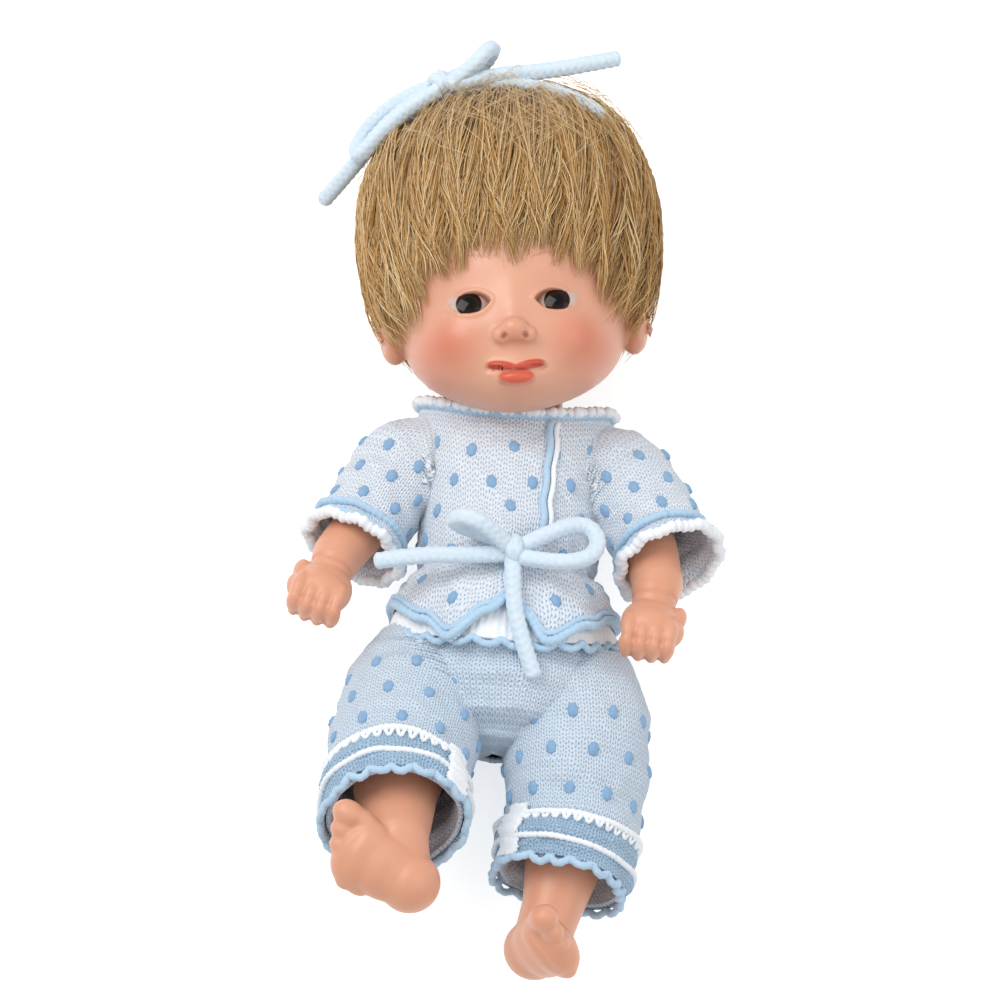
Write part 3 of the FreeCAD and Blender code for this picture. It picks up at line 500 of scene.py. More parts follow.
def facePoint(u, v):
    point = headPoint(u, v)
    for side in (1, -1):
        swell(point, (side * 15.5, 22.5), (7.5, 8.0), 2.6)      # full cheeks
        swell(point, (side * 10.6, 32.0), (6.6, 4.6), -0.2)     # eye hollows
        swell(point, (side * 9.5, 41.5), (8.0, 5.0), 0.7)       # brows
    swell(point, (0, 50), (16, 12), 0.8)                        # forehead
    swell(point, (0, 27.5), (3.6, 6.0), 1.6)                    # bridge of the nose
    swell(point, (0, 11.2), (6.0, 3.6), 2.2)                    # chin
    swell(point, (0, 14.8), (7.5, 3.4), 1.6)                    # mouth stands forward
    return point


def almond(x, y, side):
    # distance outside the eye opening, in mm, with the outer corner a little lower
    half, tall = head["opening"]
    radius = (half * half + tall * tall) / (2 * tall)
    dx, dy = (x - side * head["eye"][0]), (y - head["eye"][1])
    lean = math.radians(side * 3)
    dx, dy = dx * math.cos(lean) - dy * math.sin(lean), dx * math.sin(lean) + dy * math.cos(lean)
    drop = radius - tall
    return max(math.hypot(dx, dy + drop), math.hypot(dx, dy - drop)) - radius


def turnHead(obj):
    # the head's rest turn and tilt about the neck ball
    neck = Vector(head["neck"]) * mm
    turn = restTurn(head["turn"], head["tilt"]).to_4x4()
    obj.data.transform(Matrix.Translation(neck) @ turn @ Matrix.Translation(-neck))


def paintedFace():
    # pale vinyl, blush and lips sprayed through a mask, thin painted lash lines and brows
    material, tree, shader = newMaterial("paintedVinyl", {
        "Roughness": 0.4, "IOR": 1.5, "Subsurface Weight": 0.18, "Subsurface Radius": (0.9, 0.45, 0.3),
        "Subsurface Scale": 0.004, "Coat Weight": 0.15, "Coat Roughness": 0.3})
    coord = addNode(tree, "ShaderNodeTexCoord")
    turn = restTurn(head["turn"], head["tilt"])
    local = addNode(tree, "ShaderNodeMapping", {"vector_type": "TEXTURE",
                    "Location": Vector(head["neck"]) * mm, "Rotation": turn.to_euler(),
                    "Scale": (mm, mm, mm)},
                    {"Vector": (coord, "Object")})
    mottle = softNoise(tree, (local, 0), 0.09)
    state = [addNode(tree, "ShaderNodeMix", {"data_type": "RGBA", 6: linear(head["skin"][0]),
                     7: linear(head["skin"][1])}, {0: (mottle, "Fac")})]
    neck = Vector(head["neck"])

    def away(center, reach, lean=0.0):
        spot = Vector(center) - neck
        mapped = addNode(tree, "ShaderNodeMapping", {"vector_type": "TEXTURE", "Location": spot,
                         "Rotation": (0, 0, math.radians(lean)), "Scale": reach}, {"Vector": (local, 0)})
        return addNode(tree, "ShaderNodeVectorMath", {"operation": "LENGTH"}, {0: (mapped, 0)})

    def spray(distance, output, inner, outer, strength, colour):
        fade = addNode(tree, "ShaderNodeMapRange", {"interpolation_type": "SMOOTHSTEP", 1: outer, 2: inner,
                       3: 0.0, 4: strength}, {0: (distance, output)})
        state.append(addNode(tree, "ShaderNodeMix", {"data_type": "RGBA", 7: linear(colour)},
                             {0: (fade, 0), 6: (state[-1], 2)}))

    far = 200.0                                    # a reach this long leaves that axis out
    for side in (1, -1):
        spray(away((side * 16.5, 21.5, 50), (13, 11, far)), "Value", 0.0, 1.0, 0.62, head["blush"])
        spray(away((side * 10.6, 35.5, 55), (9, 6, far)), "Value", 0.2, 1.0, 0.22, "#C9805F")
    spray(away((0, 22.6, 60), (6.5, 4.5, far)), "Value", 0.0, 1.0, 0.3, "#E08A66")
    spray(away((0, 10.6, 55), (8, 4.5, far)), "Value", 0.0, 1.0, 0.25, "#DB8A66")
    half, tall = head["opening"]
    radius = (half * half + tall * tall) / (2 * tall)
    for side in (1, -1):
        center = (side * head["eye"][0], head["eye"][1])
        low = away((center[0], center[1] - radius + tall, 60), (1, 1, far))
        high = away((center[0], center[1] + radius - tall, 60), (1, 1, far))
        outside = addNode(tree, "ShaderNodeMath", {"operation": "MAXIMUM"},
                          {0: (low, "Value"), 1: (high, "Value")})
        rim = addNode(tree, "ShaderNodeMath", {"operation": "SUBTRACT", 1: radius - 0.1}, {0: (outside, 0)})
        rim = addNode(tree, "ShaderNodeMath", {"operation": "ABSOLUTE"}, {0: (rim, 0)})
        spray(rim, 0, 0.15, 0.85, 0.85, "#9A5A45")
        for number in range(9):                    # short hair strokes of the brow
            share = number / 8
            x = side * (5.5 + 10.5 * share)
            y = 39.6 + 2.3 * math.sin(math.pi * (0.2 + 0.62 * share))
            stroke = away((x, y, 58), (1.5, 0.33, far), side * (38 - 40 * share))
            spray(stroke, "Value", 0.3, 1.0, 0.55, "#B9805C")
        nostril = away((side * 2.5, 21.5, 60), (0.9, 0.6, far), -side * 20)
        spray(nostril, "Value", 0.45, 1.0, 0.6, "#A8401F")
        upperLip = away((side * 3.0, 15.8, 57), (4.2, 1.05, far), side * 12)
        spray(upperLip, "Value", 0.72, 1.05, 0.95, head["lip"])
    spray(away((0, 13.2, 57), (4.5, 1.85, far)), "Value", 0.8, 1.05, 0.92, "#D4573A")
    spray(away((0, 14.7, 57), (4.6, 0.5, far)), "Value", 0.5, 1.0, 0.85, "#8E2A1C")
    link(tree, state[-1], 2, shader, "Base Color")
    grain = softNoise(tree, (coord, "Object"), 1300)
    bump = addNode(tree, "ShaderNodeBump", {"Strength": 0.04, "Distance": 0.0003}, {"Height": (grain, "Fac")})
    link(tree, bump, 0, shader, "Normal")
    return material


def makeHead():
    skin = paintedFace()
    lumps = [wrapGrid("headBase", 200, 160, facePoint, skin)]
    lumps.append(egg((0, 23.3, 62.6), (3.3, 2.7, 3.4)))                       # nose tip
    for side in (1, -1):
        lumps.append(egg((side * 3.0, 22.3, 61.6), (2.1, 1.9, 2.3)))          # nostril wings
        smile = Quaternion((0, 0, 1), math.radians(side * 12))
        lumps.append(egg((side * 2.8, 15.8, 58.2), (3.9, 1.05, 1.8), smile))  # upper lip
        tip = Quaternion((0, 1, 0), math.radians(side * 25))
        lumps.append(egg((side * 28.4, 32.5, 35.5), (3.2, 6.8, 5.0), tip))    # ears
    lumps.append(egg((0, 13.1, 57.9), (4.3, 1.7, 2.2)))                       # lower lip
    lumps.append(egg(head["neck"], (11.0, 6.4, 11.0)))                        # rim round the neck
    skinObj = joinClay(lumps, "paintedHead", skin, 0.5, 4)
    lips = [(-6.4, 15.6, 57.5), (-3, 14.5, 60), (0, 14.7, 60.5), (3, 14.5, 60), (6.4, 15.6, 57.5)]
    grooves = [(lips, 1.3, 0.55), ([(-2.5, 21.4, 63), (-2.3, 21.5, 63.4)], 1.3, 0.6),
               ([(2.5, 21.4, 63), (2.3, 21.5, 63.4)], 1.3, 0.6),
               ([(0, 18.0, 61.5), (0, 20.2, 62.5)], 0.35, 0.8)]
    for side in (1, -1):
        ear = [(side * 31.4, 36.5, 37), (side * 31.8, 33, 37.5), (side * 31.2, 29.8, 38)]
        grooves.append((ear, 1.4, 1.5))
    sink(skinObj, grooves)
    for vertex in skinObj.data.vertices:
        x, y, z = vertex.co / mm
        if z > 50 and 24 < y < 40:
            for side in (1, -1):
                outside = almond(x, y, side)
                if outside < 1.6:
                    inside = max(0.0, min(1.0, (0.25 - outside) / 0.6))
                    # the lid's edge stands up a little
                    lid = math.exp(-((outside - 0.7) / 0.6) ** 2) * 0.45
                    vertex.co.z += (lid - 4.5 * inside * inside * (3 - 2 * inside)) * mm
    turnHead(skinObj)
    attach(skinObj, "head")
    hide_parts("head_shell")
    print("head made")


def eyeGlass():
    # glossy acrylic: warm white ball darkened to pinkish grey with painted shade from the lids, near-black
    # iris, clear coat
    material, tree, shader = newMaterial("acrylicEye", {"Roughness": 0.12, "IOR": 1.25, "Coat Weight": 0.18,
                                                        "Coat Roughness": 0.03})
    local = addNode(tree, "ShaderNodeUVMap", {"uv_map": "UVMap"})
    middle = addNode(tree, "ShaderNodeVectorMath", {"operation": "LENGTH"}, {0: (local, 0)})
    ramp = addNode(tree, "ShaderNodeValToRGB", None, {0: (middle, "Value")})
    # the last stop, pinkish grey, is the white with painted shade from the lids and lashes
    stops = ((0.0, "#050302"), (0.42, "#070403"), (0.5, "#1D0E08"), (0.80, "#2A150C"), (0.92, "#120906"),
             (0.98, "#5E5048"), (1.04, "#CDB4A8"))
    while len(ramp.color_ramp.elements) < len(stops):
        ramp.color_ramp.elements.new(0.5)
    for element, (place, colour) in zip(ramp.color_ramp.elements, stops):
        element.position = place / 1.3
        element.color = linear(colour)
    scaled = addNode(tree, "ShaderNodeMath", {"operation": "DIVIDE", 1: 1.3}, {0: (middle, "Value")})
    link(tree, scaled, 0, ramp, 0)
    link(tree, ramp, 0, shader, "Base Color")
    return material


def makeEyes():
    glass = eyeGlass()
    for side, name in ((1, "left"), (-1, "right")):
        center = Vector(head["eyeball"])
        center.x *= side
        obj = egg(center, (head["eyeRadius"],) * 3, None, 64, 48)
        finishMesh(obj, name + "GlassEye", glass)
        layer = obj.data.uv_layers.active
        gaze = Vector((0.0, 0.2, 0))               # where the iris sits on the ball
        for loop in obj.data.loops:
            spot = obj.data.vertices[loop.vertex_index].co / mm - center - gaze
            far = 9.0 if spot.z < 0 else math.hypot(spot.x, spot.y) / head["irisRadius"]
            angle = math.atan2(spot.y, spot.x)
            layer.data[loop.index].uv = (far * math.cos(angle), far * math.sin(angle))
        turnHead(obj)
        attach(obj, "head")
        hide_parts(name + "_eye", name + "_iris")
    print("eyes made")


# --- hair: rooted fibre over a moulded cap, combed forward from the crown
hair = {
    "radii": (37.0, 38.2, 32.0), "middle": (0, 59, 31), "joints": 7,
    "fringe": 46.0, "side": 34.0, "shades": ("#AD7A34", "#DEB270", "#F2DAAE"), "seed": 11,
    "fringeCount": 4200, "sideCount": 4200, "backCount": 3800, "wispCount": 420,
}


def hairFibre():
    # fine acrylic fibre: long silky highlights, and painted shade darkening each strand towards its root
    material, tree, shader = newMaterial("acrylicHair", {"Roughness": 0.42, "IOR": 1.5,
                                                         "Anisotropic": 0.5, "Sheen Weight": 0.15})
    spot = addNode(tree, "ShaderNodeAttribute", {"attribute_name": "strand"})
    split = addNode(tree, "ShaderNodeSeparateXYZ", None, {0: (spot, "Vector")})
    ramp = addNode(tree, "ShaderNodeValToRGB", None, {0: (split, 0)})
    ramp.color_ramp.elements[0].color = linear(hair["shades"][0])
    ramp.color_ramp.elements[1].color = linear(hair["shades"][2])
    middle = ramp.color_ramp.elements.new(0.5)
    middle.color = linear(hair["shades"][1])
    # painted shade: the strands darken towards their roots, where they lie under the others
    rootShade = addNode(tree, "ShaderNodeMapRange", {1: 0.0, 2: 0.55, 3: 0.4, 4: 0.0}, {0: (split, 1)})
    shade = addNode(tree, "ShaderNodeMix", {"data_type": "RGBA", 7: linear("#8F6428")},
                    {0: (rootShade, 0), 6: (ramp, 0)})
    link(tree, shade, 2, shader, "Base Color")
    return material


def hairBase(material):
    # the rooted scalp that shows between the strands
    def place(u, v):
        share = 0.30 + 0.70 * v
        angle = 2 * math.pi * u
        y = head["chin"] + share * head["length"]
        front = max(0.0, math.sin(angle))
        low = (hair["fringe"] + 8) * front + (hair["side"] + 4) * (1 - front)
        y = max(y, low + 4 * math.sin(angle * 9) * 0.3)
        share = (y - head["chin"]) / head["length"]
        half, deep, rise = between(headRows, min(share, 1.0))
        return Vector(((half + 0.7) * math.cos(angle), y,
                       head["middle"] + rise + (deep + 0.7) * math.sin(angle)))
    obj = wrapGrid("hairScalp", 96, 48, place, material)
    attribute = obj.data.attributes.new("strand", "FLOAT_VECTOR", "POINT")
    for index, vertex in enumerate(obj.data.vertices):
        # the scalp takes the dark strand tones and most of the painted root shade
        attribute.data[index].vector = (0.15 + 0.15 * noise.noise(vertex.co * 900), 0.1, 0)
    return obj


def scalpPoint(azimuth, share, lift):
    # azimuth round the long axis (90 degrees is the front), share from chin to crown
    half, deep, rise = between(headRows, min(max(share, 0.0), 1.0))
    x, z = half * math.cos(azimuth), deep * math.sin(azimuth)
    y = head["chin"] + share * head["length"]
    point = Vector((x, y, head["middle"] + rise + z))
    out = Vector((x / max(half, 4), (y - hair["middle"][1]) / 34, z / max(deep, 4))).normalized()
    return point + out * lift


def strandMesh(name, strands, material):
    verts, faces, shades = [], [], []
    for points, width, shade in strands:
        start = len(verts)
        count = len(points)
        for row, point in enumerate(points):
            along = (points[min(row + 1, count - 1)] - points[max(row - 1, 0)]).normalized()
            side = along.cross(Vector((0.31, 0.22, 0.92))).normalized()
            up = along.cross(side)
            share = row / (count - 1)
            radius = width * (1.0 - 0.75 * share ** 2)
            for corner in range(3):
                angle = 2.0944 * corner
                verts.append((point + (side * math.cos(angle) + up * math.sin(angle)) * radius) * mm)
                shades.append((shade, share, 0))
        for row in range(count - 1):
            for corner in range(3):
                a = start + row * 3 + corner
                b = start + row * 3 + (corner + 1) % 3
                faces.append((a, b, b + 3, a + 3))
        faces.append((start + 2, start + 1, start))
        last = start + (count - 1) * 3
        faces.append((last, last + 1, last + 2))
    obj = meshFrom(name, verts, faces, material)
    attribute = obj.data.attributes.new("strand", "FLOAT_VECTOR", "POINT")
    flat = [c for shade in shades for c in shade]
    attribute.data.foreach_set("vector", flat)
    return obj


def combed(azimuth, high, low, lift, spread=0.0, sway=1.0):
    # one strand that starts at share high and falls to share low, clumping and swaying on its way
    points, count = [], hair["joints"]
    tuft = math.floor(azimuth * 13)
    clump = (tuft + 0.5 + 0.35 * math.sin(tuft * 7.1)) / 13
    low += 0.035 * math.sin(tuft * 3.7)
    for row in range(count):
        t = row / (count - 1)
        turn = azimuth + (clump - azimuth) * 0.8 * t ** 1.6 + spread * t
        turn += sway * 0.05 * math.sin(5 * t + azimuth * 23)
        share = high + (low - high) * t
        height = lift * (0.35 + 0.65 * math.sin(math.pi * min(1.0, 0.25 + 0.75 * t)))
        points.append(scalpPoint(turn, share, 0.8 + height))
    return points


def makeHair():
    rng = random.Random(hair["seed"])
    fibre = hairFibre()
    base = hairBase(fibre)
    turnHead(base)
    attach(base, "head")
    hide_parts("hair_fringe", "hair_rear")
    fringeShare = (hair["fringe"] - head["chin"]) / head["length"]
    sideShare = (hair["side"] - head["chin"]) / head["length"]
    groups = {"hairFringe": [], "hairSides": [], "hairBack": [], "hairWisps": []}
    for number in range(hair["fringeCount"]):
        azimuth = math.radians(rng.uniform(28, 152))
        edge = fringeShare + 0.05 * noise.noise(Vector((azimuth * 7, 3, 0))) + rng.uniform(-0.05, 0.07)
        edge -= 0.16 * min(1, abs(azimuth - math.pi / 2) / 1.08) ** 2.4
        high = rng.uniform(edge + 0.14, 0.985)
        lift = rng.uniform(0.4, 3.6) + (1.2 if rng.random() < 0.2 else 0)
        points = combed(azimuth, high, max(edge, high - 0.55), lift, spread=rng.gauss(0, 0.03))
        groups["hairFringe"].append((points, rng.uniform(0.10, 0.19), rng.random()))
    for number in range(hair["sideCount"]):
        side = rng.choice((0, math.pi))
        azimuth = side + math.radians(rng.uniform(-42, 36)) * (1 if side == 0 else -1)
        edge = sideShare + rng.uniform(-0.05, 0.08)
        high = rng.uniform(edge + 0.15, 0.98)
        lift = rng.uniform(0.6, 6.0)
        points = combed(azimuth, high, max(edge, high - 0.5), lift, spread=rng.gauss(0, 0.05), sway=1.6)
        groups["hairSides"].append((points, rng.uniform(0.10, 0.19), rng.random()))
    for number in range(hair["backCount"]):
        azimuth = math.radians(rng.uniform(215, 325))
        edge = 0.2 + rng.uniform(-0.03, 0.06)
        high = rng.uniform(edge + 0.15, 0.98)
        points = combed(azimuth, high, max(edge, high - 0.45), rng.uniform(0.3, 1.2),
                        spread=rng.gauss(0, 0.05))
        groups["hairBack"].append((points, rng.uniform(0.11, 0.2), rng.random() * 0.8))
    for number in range(hair["wispCount"]):
        azimuth = rng.uniform(-0.5, math.pi + 0.5)
        high = rng.uniform(0.74, 0.99)
        points = combed(azimuth, high, high - rng.uniform(0.1, 0.2), rng.uniform(3, 7.5),
                        spread=rng.gauss(0, 0.2), sway=3)
        groups["hairWisps"].append((points, rng.uniform(0.05, 0.09), 0.5 + rng.random() * 0.5))
    for name, strands in groups.items():
        obj = strandMesh(name, strands, fibre)
        turnHead(obj)
        for vertex in obj.data.vertices:
            vertex.co.z = max(vertex.co.z, 0.0003)
        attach(obj, "head")
    print("hair made")


# --- knitted clothes: fine stockinette with raised blue dots
cloth = {
    # the hole colours are painted shade between the stitches
    "yarn": ("#DDE9F6", "#F7FAFE"), "paintedStitchShade": "#86AACB", "trouserYarn": ("#CADCED", "#E4EEF8"),
    "trouserPaintedShade": "#7FA0BE", "blue": ("#A9CBE6", "#C4DDF0"), "dotBlue": ("#7CA4CB", "#98BAD9"),
    "cuffYarn": ("#A4C4DE", "#BAD4E9"), "cuffPaintedShade": "#6F97BC", "trim": ("#E9F0F7", "#FFFFFF"),
    "column": 1.35, "row": 1.15, "dotRadii": (1.25, 1.7, 0.75), "thickness": 1.1,
}


def clothMaterials():
    # yarns shared by the dots, rolled edges and picots
    return {"blue": softYarn("paleBlueYarn", cloth["blue"]), "dot": softYarn("dotYarn", cloth["dotBlue"]),
            "trim": softYarn("whiteYarn", cloth["trim"])}


def knit(name, girth, length, yarn="yarn", paintedStitchShade="paintedStitchShade"):
    # one knit per wrap, its stitch count from the wrap's own girth and length
    return stockinette(name, cloth[yarn], cloth[paintedStitchShade], round(girth / cloth["column"]),
                       round(length / cloth["row"]))


def lineFrame(route, share):
    # point and direction a share of the way down a limb's route
    points = [Vector(p) for p in route]
    runs = [(b - a).length for a, b in zip(points, points[1:])]
    goal = share * sum(runs)
    for start, end, run in zip(points, points[1:], runs):
        if goal <= run + 1e-6:
            return start + (end - start) * (goal / run), (end - start).normalized()
        goal -= run
    return points[-1], (points[-1] - points[-2]).normalized()


def smoothed(route, rounds=3):
    # corners cut off a route so that a sleeve bends instead of kinking
    points = [Vector(p) for p in route]
    for _ in range(rounds):
        cut = [points[0]]
        for a, b in zip(points, points[1:]):
            cut += [a.lerp(b, 0.25), a.lerp(b, 0.75)]
        points = cut + [points[-1]]
    return points


def limbWrap(route, radii, folds=0.5, seed=0, flat=0.0):
    # place(u, v) for a soft tube down a route: radii by share, with slack folds across it
    path = smoothed(route)
    side = lineFrame(path, 0.0)[1].orthogonal().normalized()

    def place(u, v):
        point, along = lineFrame(path, v)
        across = (side - along * side.dot(along)).normalized()
        up = along.cross(across)
        angle = 2 * math.pi * u
        out = across * math.cos(angle) + up * math.sin(angle)
        radius = rowOf(radii, v)[0]
        spot = Vector((math.cos(angle) * 0.9, math.sin(angle) * 0.9, v * 5.5 + seed))
        radius += folds * (noise.noise(spot * 1.6) + 0.5 * noise.noise(spot * 3.7))
        radius += folds * 0.55 * math.sin(v * 26 + 3 * noise.noise(spot) + 2 * math.sin(angle)) * v
        point = point + out * radius
        point.z = max(point.z, flat)
        return point
    return place


def rowOf(rows, share):
    # values between the rows of a table, each row a share and its values
    for low, high in zip(rows, rows[1:]):
        if share <= high[0] + 1e-9:
            part = (share - low[0]) / (high[0] - low[0])
            part = part * part * (3 - 2 * part)
            return [a + (b - a) * part for a, b in zip(low[1:], high[1:])]
    return list(rows[-1][1:])


def knitDots(name, place, spots, material):
    # raised dots worked into the knit, one modelled and the rest copied, set on place(u, v)
    bpy.ops.mesh.primitive_uv_sphere_add(segments=14, ring_count=9, radius=1)
    first = bpy.context.object
    for vertex in first.data.vertices:
        ply = 1 + 0.10 * math.sin(vertex.co.y * 9 + vertex.co.x * 4)
        vertex.co *= ply
    radii = cloth["dotRadii"]
    dots = []
    for u, v in spots:
        middle = Vector(place(u, v))
        right = (Vector(place(u + 0.01, v)) - middle).normalized()
        down = (Vector(place(u, min(v + 0.02, 1.0))) - Vector(place(u, v - 0.02))).normalized()
        out = right.cross(down).normalized()
        dot = first.copy()
        dot.data = first.data.copy()
        bpy.context.collection.objects.link(dot)
        basis = Matrix((right * radii[0], down * radii[1], out * radii[2])).transposed() * mm
        dot.matrix_world = Matrix.Translation(middle * mm) @ basis.to_4x4()
        dots.append(dot)
    bpy.data.objects.remove(first)
    bpy.ops.object.select_all(action="DESELECT")
    for dot in dots:
        dot.select_set(True)
    bpy.context.view_layer.objects.active = dots[0]
    bpy.ops.object.join()
    return finishMesh(bpy.context.object, name, material)


def dotRows(girth, length, apart=9.4, low=0.06, high=0.94):
    # staggered places for dots: (u, v) pairs about apart mm from each other
    across = max(3, round(girth / apart))
    rows = max(2, round(length * (high - low) / (apart * 0.86)))
    return [((column + 0.5 * (row % 2)) / across, low + (high - low) * (row + 0.5) / rows)
            for row in range(rows) for column in range(across)]


def edging(name, points, radius, material, bumps, pitch):
    # rolled edge or crocheted picot row laid along points (mm)
    spots = evenly([Vector(p) * mm for p in points], 0.5 * mm)[0]
    verts, faces, ring = [], [], 8
    for index, (spot, along, side, up) in enumerate(frames(spots)):
        swell = radius * (1 + bumps * abs(math.sin(math.pi * index * 0.5 / pitch)))
        for corner in range(ring):
            angle = 2 * math.pi * corner / ring
            offset = side * math.cos(angle) + up * math.sin(angle)
            verts.append(spot + offset * swell * mm)
    for row in range(len(spots) - 1):
        for corner in range(ring):
            a, b = row * ring + corner, row * ring + (corner + 1) % ring
            faces.append((a, b, b + ring, a + ring))
    faces.append(tuple(range(ring))[::-1])
    faces.append(tuple(range(len(verts) - ring, len(verts))))
    return meshFrom(name, verts, faces, material)


jacket = {
    # along Y: half width, half depth, height of the middle
    "rows": ((-20.0, 21.6, 11.0, 22.5), (-14.0, 23.0, 13.2, 22.5), (-8.0, 23.4, 15.6, 22.0),
             (-1.0, 22.6, 18.0, 21.5), (8.0, 21.4, 20.2, 21.0), (18.0, 21.0, 21.6, 21.0),
             (24.0, 21.6, 21.4, 21.0), (28.0, 24.0, 22.6, 21.2), (33.0, 26.4, 23.4, 21.6),
             (40.0, 28.4, 24.4, 22.0), (50.0, 29.0, 25.0, 22.6)),
    # across the front: place from the middle and height of the hem's edge there
    "hem": ((-30, -34.5), (-20, -41), (-12.5, -46.5), (-4, -40), (1.5, -35.5),
            (5.5, -40), (11, -46), (20, -40.5), (31, -34.5)),
    "top": 16.8, "drop": 5.2, "folds": 0.55, "seed": 4.0, "back": -35.5,
}


def torsoPoint(angle, y, lift=0.0, folds=1.0):
    # the jacket's outside at an angle round the body (90 degrees is the front)
    half, deep, middle = rowOf(jacket["rows"], -y)
    spot = Vector((math.cos(angle) * 1.3, math.sin(angle) * 1.3, y * 0.09 + jacket["seed"]))
    puff = jacket["folds"] * folds * (noise.noise(spot * 1.7) * 1.2 + noise.noise(spot * 4.1) * 0.7)
    gather = math.exp(-((y + 25) / 7) ** 2)
    puff += folds * gather * 0.55 * math.sin(angle * 17 + 2.5 * noise.noise(spot * 2))
    flare = max(0.0, (-y - 29) / 14)
    puff += folds * flare * 1.5 * math.sin(angle * 7 + 1.4)
    puff -= 1.3 * math.exp(-((y + 24) / 2.2) ** 2) * folds
    point = Vector((math.cos(angle) * (half + puff + lift), y, middle + math.sin(angle) * (deep + puff + lift)))
    point.z = max(point.z, 0.0)
    return point


def hemHeight(angle):
    # wavy across the front, level round the back
    if math.sin(angle) < 0:
        return jacket["back"]
    level = rowOf(jacket["hem"], 30 * math.cos(angle))[0]
    front = min(1, math.sin(angle) * 3)
    return level * front + jacket["back"] * (1 - front)


def jacketPlace(u, v):
    angle = 2 * math.pi * u - math.pi / 2
    low = hemHeight(angle)
    top = jacket["top"] - jacket["drop"] * max(0, math.sin(angle)) ** 2
    return torsoPoint(angle, top + (low - top) * v)


def makeJacket(yarns):
    material = knit("jacketKnit", 138, 48)
    body = wrapGrid("knittedJacket", 230, 130, jacketPlace, material, thickness=cloth["thickness"])
    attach(body, "torso")
    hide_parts("jacket_body", "jacket_front_band", "jacket_collar", "waist_cord")
    # no dots where the sleeves cover the sides
    spots = [(u, v) for u, v in dotRows(130, 50, 9.6, 0.10, 0.90)
             if v > 0.62 or abs(math.sin(2 * math.pi * u)) < 0.86]
    dots = knitDots("jacketDots", jacketPlace, spots, yarns["dot"])
    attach(dots, "torso")
    # placket: rolled pale blue band down the front, a little to the doll's left
    line = [torsoPoint(math.pi / 2 - 0.36 + 0.012 * math.sin(n), 10.5 - n * 1.5, 0.5) for n in range(22)]
    under = [p + Vector((1.6, 0, -0.4)) for p in line]
    placket = edging("placketEdge", line, 0.75, yarns["blue"], 0.18, 1.3)
    placketSeam = edging("placketSeam", under, 0.55, yarns["trim"], 0.3, 1.1)
    hem, hemTrim = [], []
    for n in range(141):
        u = n / 140
        hem.append(jacketPlace(u, 0.985) + Vector((0, 0, 0.35)))
        hemTrim.append(jacketPlace(u, 0.955) + Vector((0, 0, 0.75)))
    hemRoll = edging("hemRoll", hem, 0.95, yarns["blue"], 0.22, 1.5)
    hemRow = edging("hemRow", hemTrim, 0.5, yarns["blue"], 0.5, 1.8)
    collar, frill = [], []
    for n in range(181):
        u = n / 180
        angle = 2 * math.pi * u - math.pi / 2
        front = jacket["drop"] * max(0, math.sin(angle)) ** 2
        lift = 1.1 * math.sin(n * 0.9) + 0.7 * math.sin(n * 2.3)
        collar.append(torsoPoint(angle, jacket["top"] - front, 0.3))
        frill.append(torsoPoint(angle, jacket["top"] + 0.6 - front, 0.9 + 0.5 * lift))
    collarRoll = edging("collarRoll", collar, 1.0, yarns["blue"], 0.2, 1.4)
    collarFrill = edging("collarFrill", frill, 0.85, yarns["trim"], 0.7, 1.7)
    trims = [placket, placketSeam, hemRoll, hemRow, collarRoll, collarFrill]
    for piece in trims:
        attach(piece, "torso")
    print("jacket made")


def makeLining(yarns):
    # ribbed lining that shows under the hem, with pale blue scallops on its edge
    def place(u, v):
        angle = 2 * math.pi * u - math.pi / 2
        front = max(0.0, math.sin(angle))
        y = -33 - v * (5 + 7.5 * front)
        point = torsoPoint(angle, y, -1.7, 0.6)
        ridge = 0.16 * math.sin(angle * 90)
        return point + Vector((math.cos(angle), 0, math.sin(angle))) * ridge

    rib = softYarn("whiteRib", cloth["trim"])
    lining = wrapGrid("ribbedLining", 480, 24, place, rib, thickness=0.7)
    scallops = []
    for n in range(261):
        u = n / 260
        wave = abs(math.sin(math.pi * n / 10))
        scallops.append(place(u, 1.0) + Vector((0, -1.5 * wave, 0.15)))
    edge = edging("liningScallops", scallops, 0.8, yarns["blue"], 0.15, 1.5)
    for piece in (lining, edge):
        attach(piece, "torso")
    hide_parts("inner_hem")
    print("lining made")


seat = {
    # share of the length down from the top: half width, half depth, height of the middle
    "rows": ((0.0, 22.0, 19.6, 21.2), (0.18, 22.8, 20.4, 21.2), (0.4, 25.0, 21.6, 21.6),
             (0.6, 25.6, 21.8, 21.8), (0.78, 21.5, 19.5, 21.6), (0.92, 12.5, 13.0, 21.4),
             (1.0, 3.0, 4.0, 21.4)),
    "top": -31.5, "length": 36.0, "folds": 0.7,
}


def seatPlace(u, v):
    angle = 2 * math.pi * u - math.pi / 2
    half, deep, middle = rowOf(seat["rows"], v)
    spot = Vector((math.cos(angle), math.sin(angle), v * 3 + 7))
    fold = seat["folds"] * (noise.noise(spot * 2.1) + 0.6 * noise.noise(spot * 5))
    fold += 0.6 * math.sin(v * 30 + 2.5 * math.cos(angle * 2)) * max(0, math.sin(angle)) * v
    point = Vector((math.cos(angle) * (half + fold), seat["top"] - seat["length"] * v,
                    middle + math.sin(angle) * (deep + fold)))
    point.z = max(point.z, 0.15)
    return point


def makeSeat(yarns):
    material = knit("seatKnit", 140, 40, "trouserYarn", "trouserPaintedShade")
    body = wrapGrid("trouserSeat", 200, 90, seatPlace, material, thickness=cloth["thickness"])
    band = [seatPlace(n / 160, 0.30) + Vector((0, 0, 0.3)) for n in range(161)]
    trim = edging("waistRoll", band, 0.9, yarns["blue"], 0.2, 1.5)
    for piece in (body, trim):
        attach(piece, "torso")
    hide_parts("trousers_seat", "trousers_waistband")
    print("seat made")


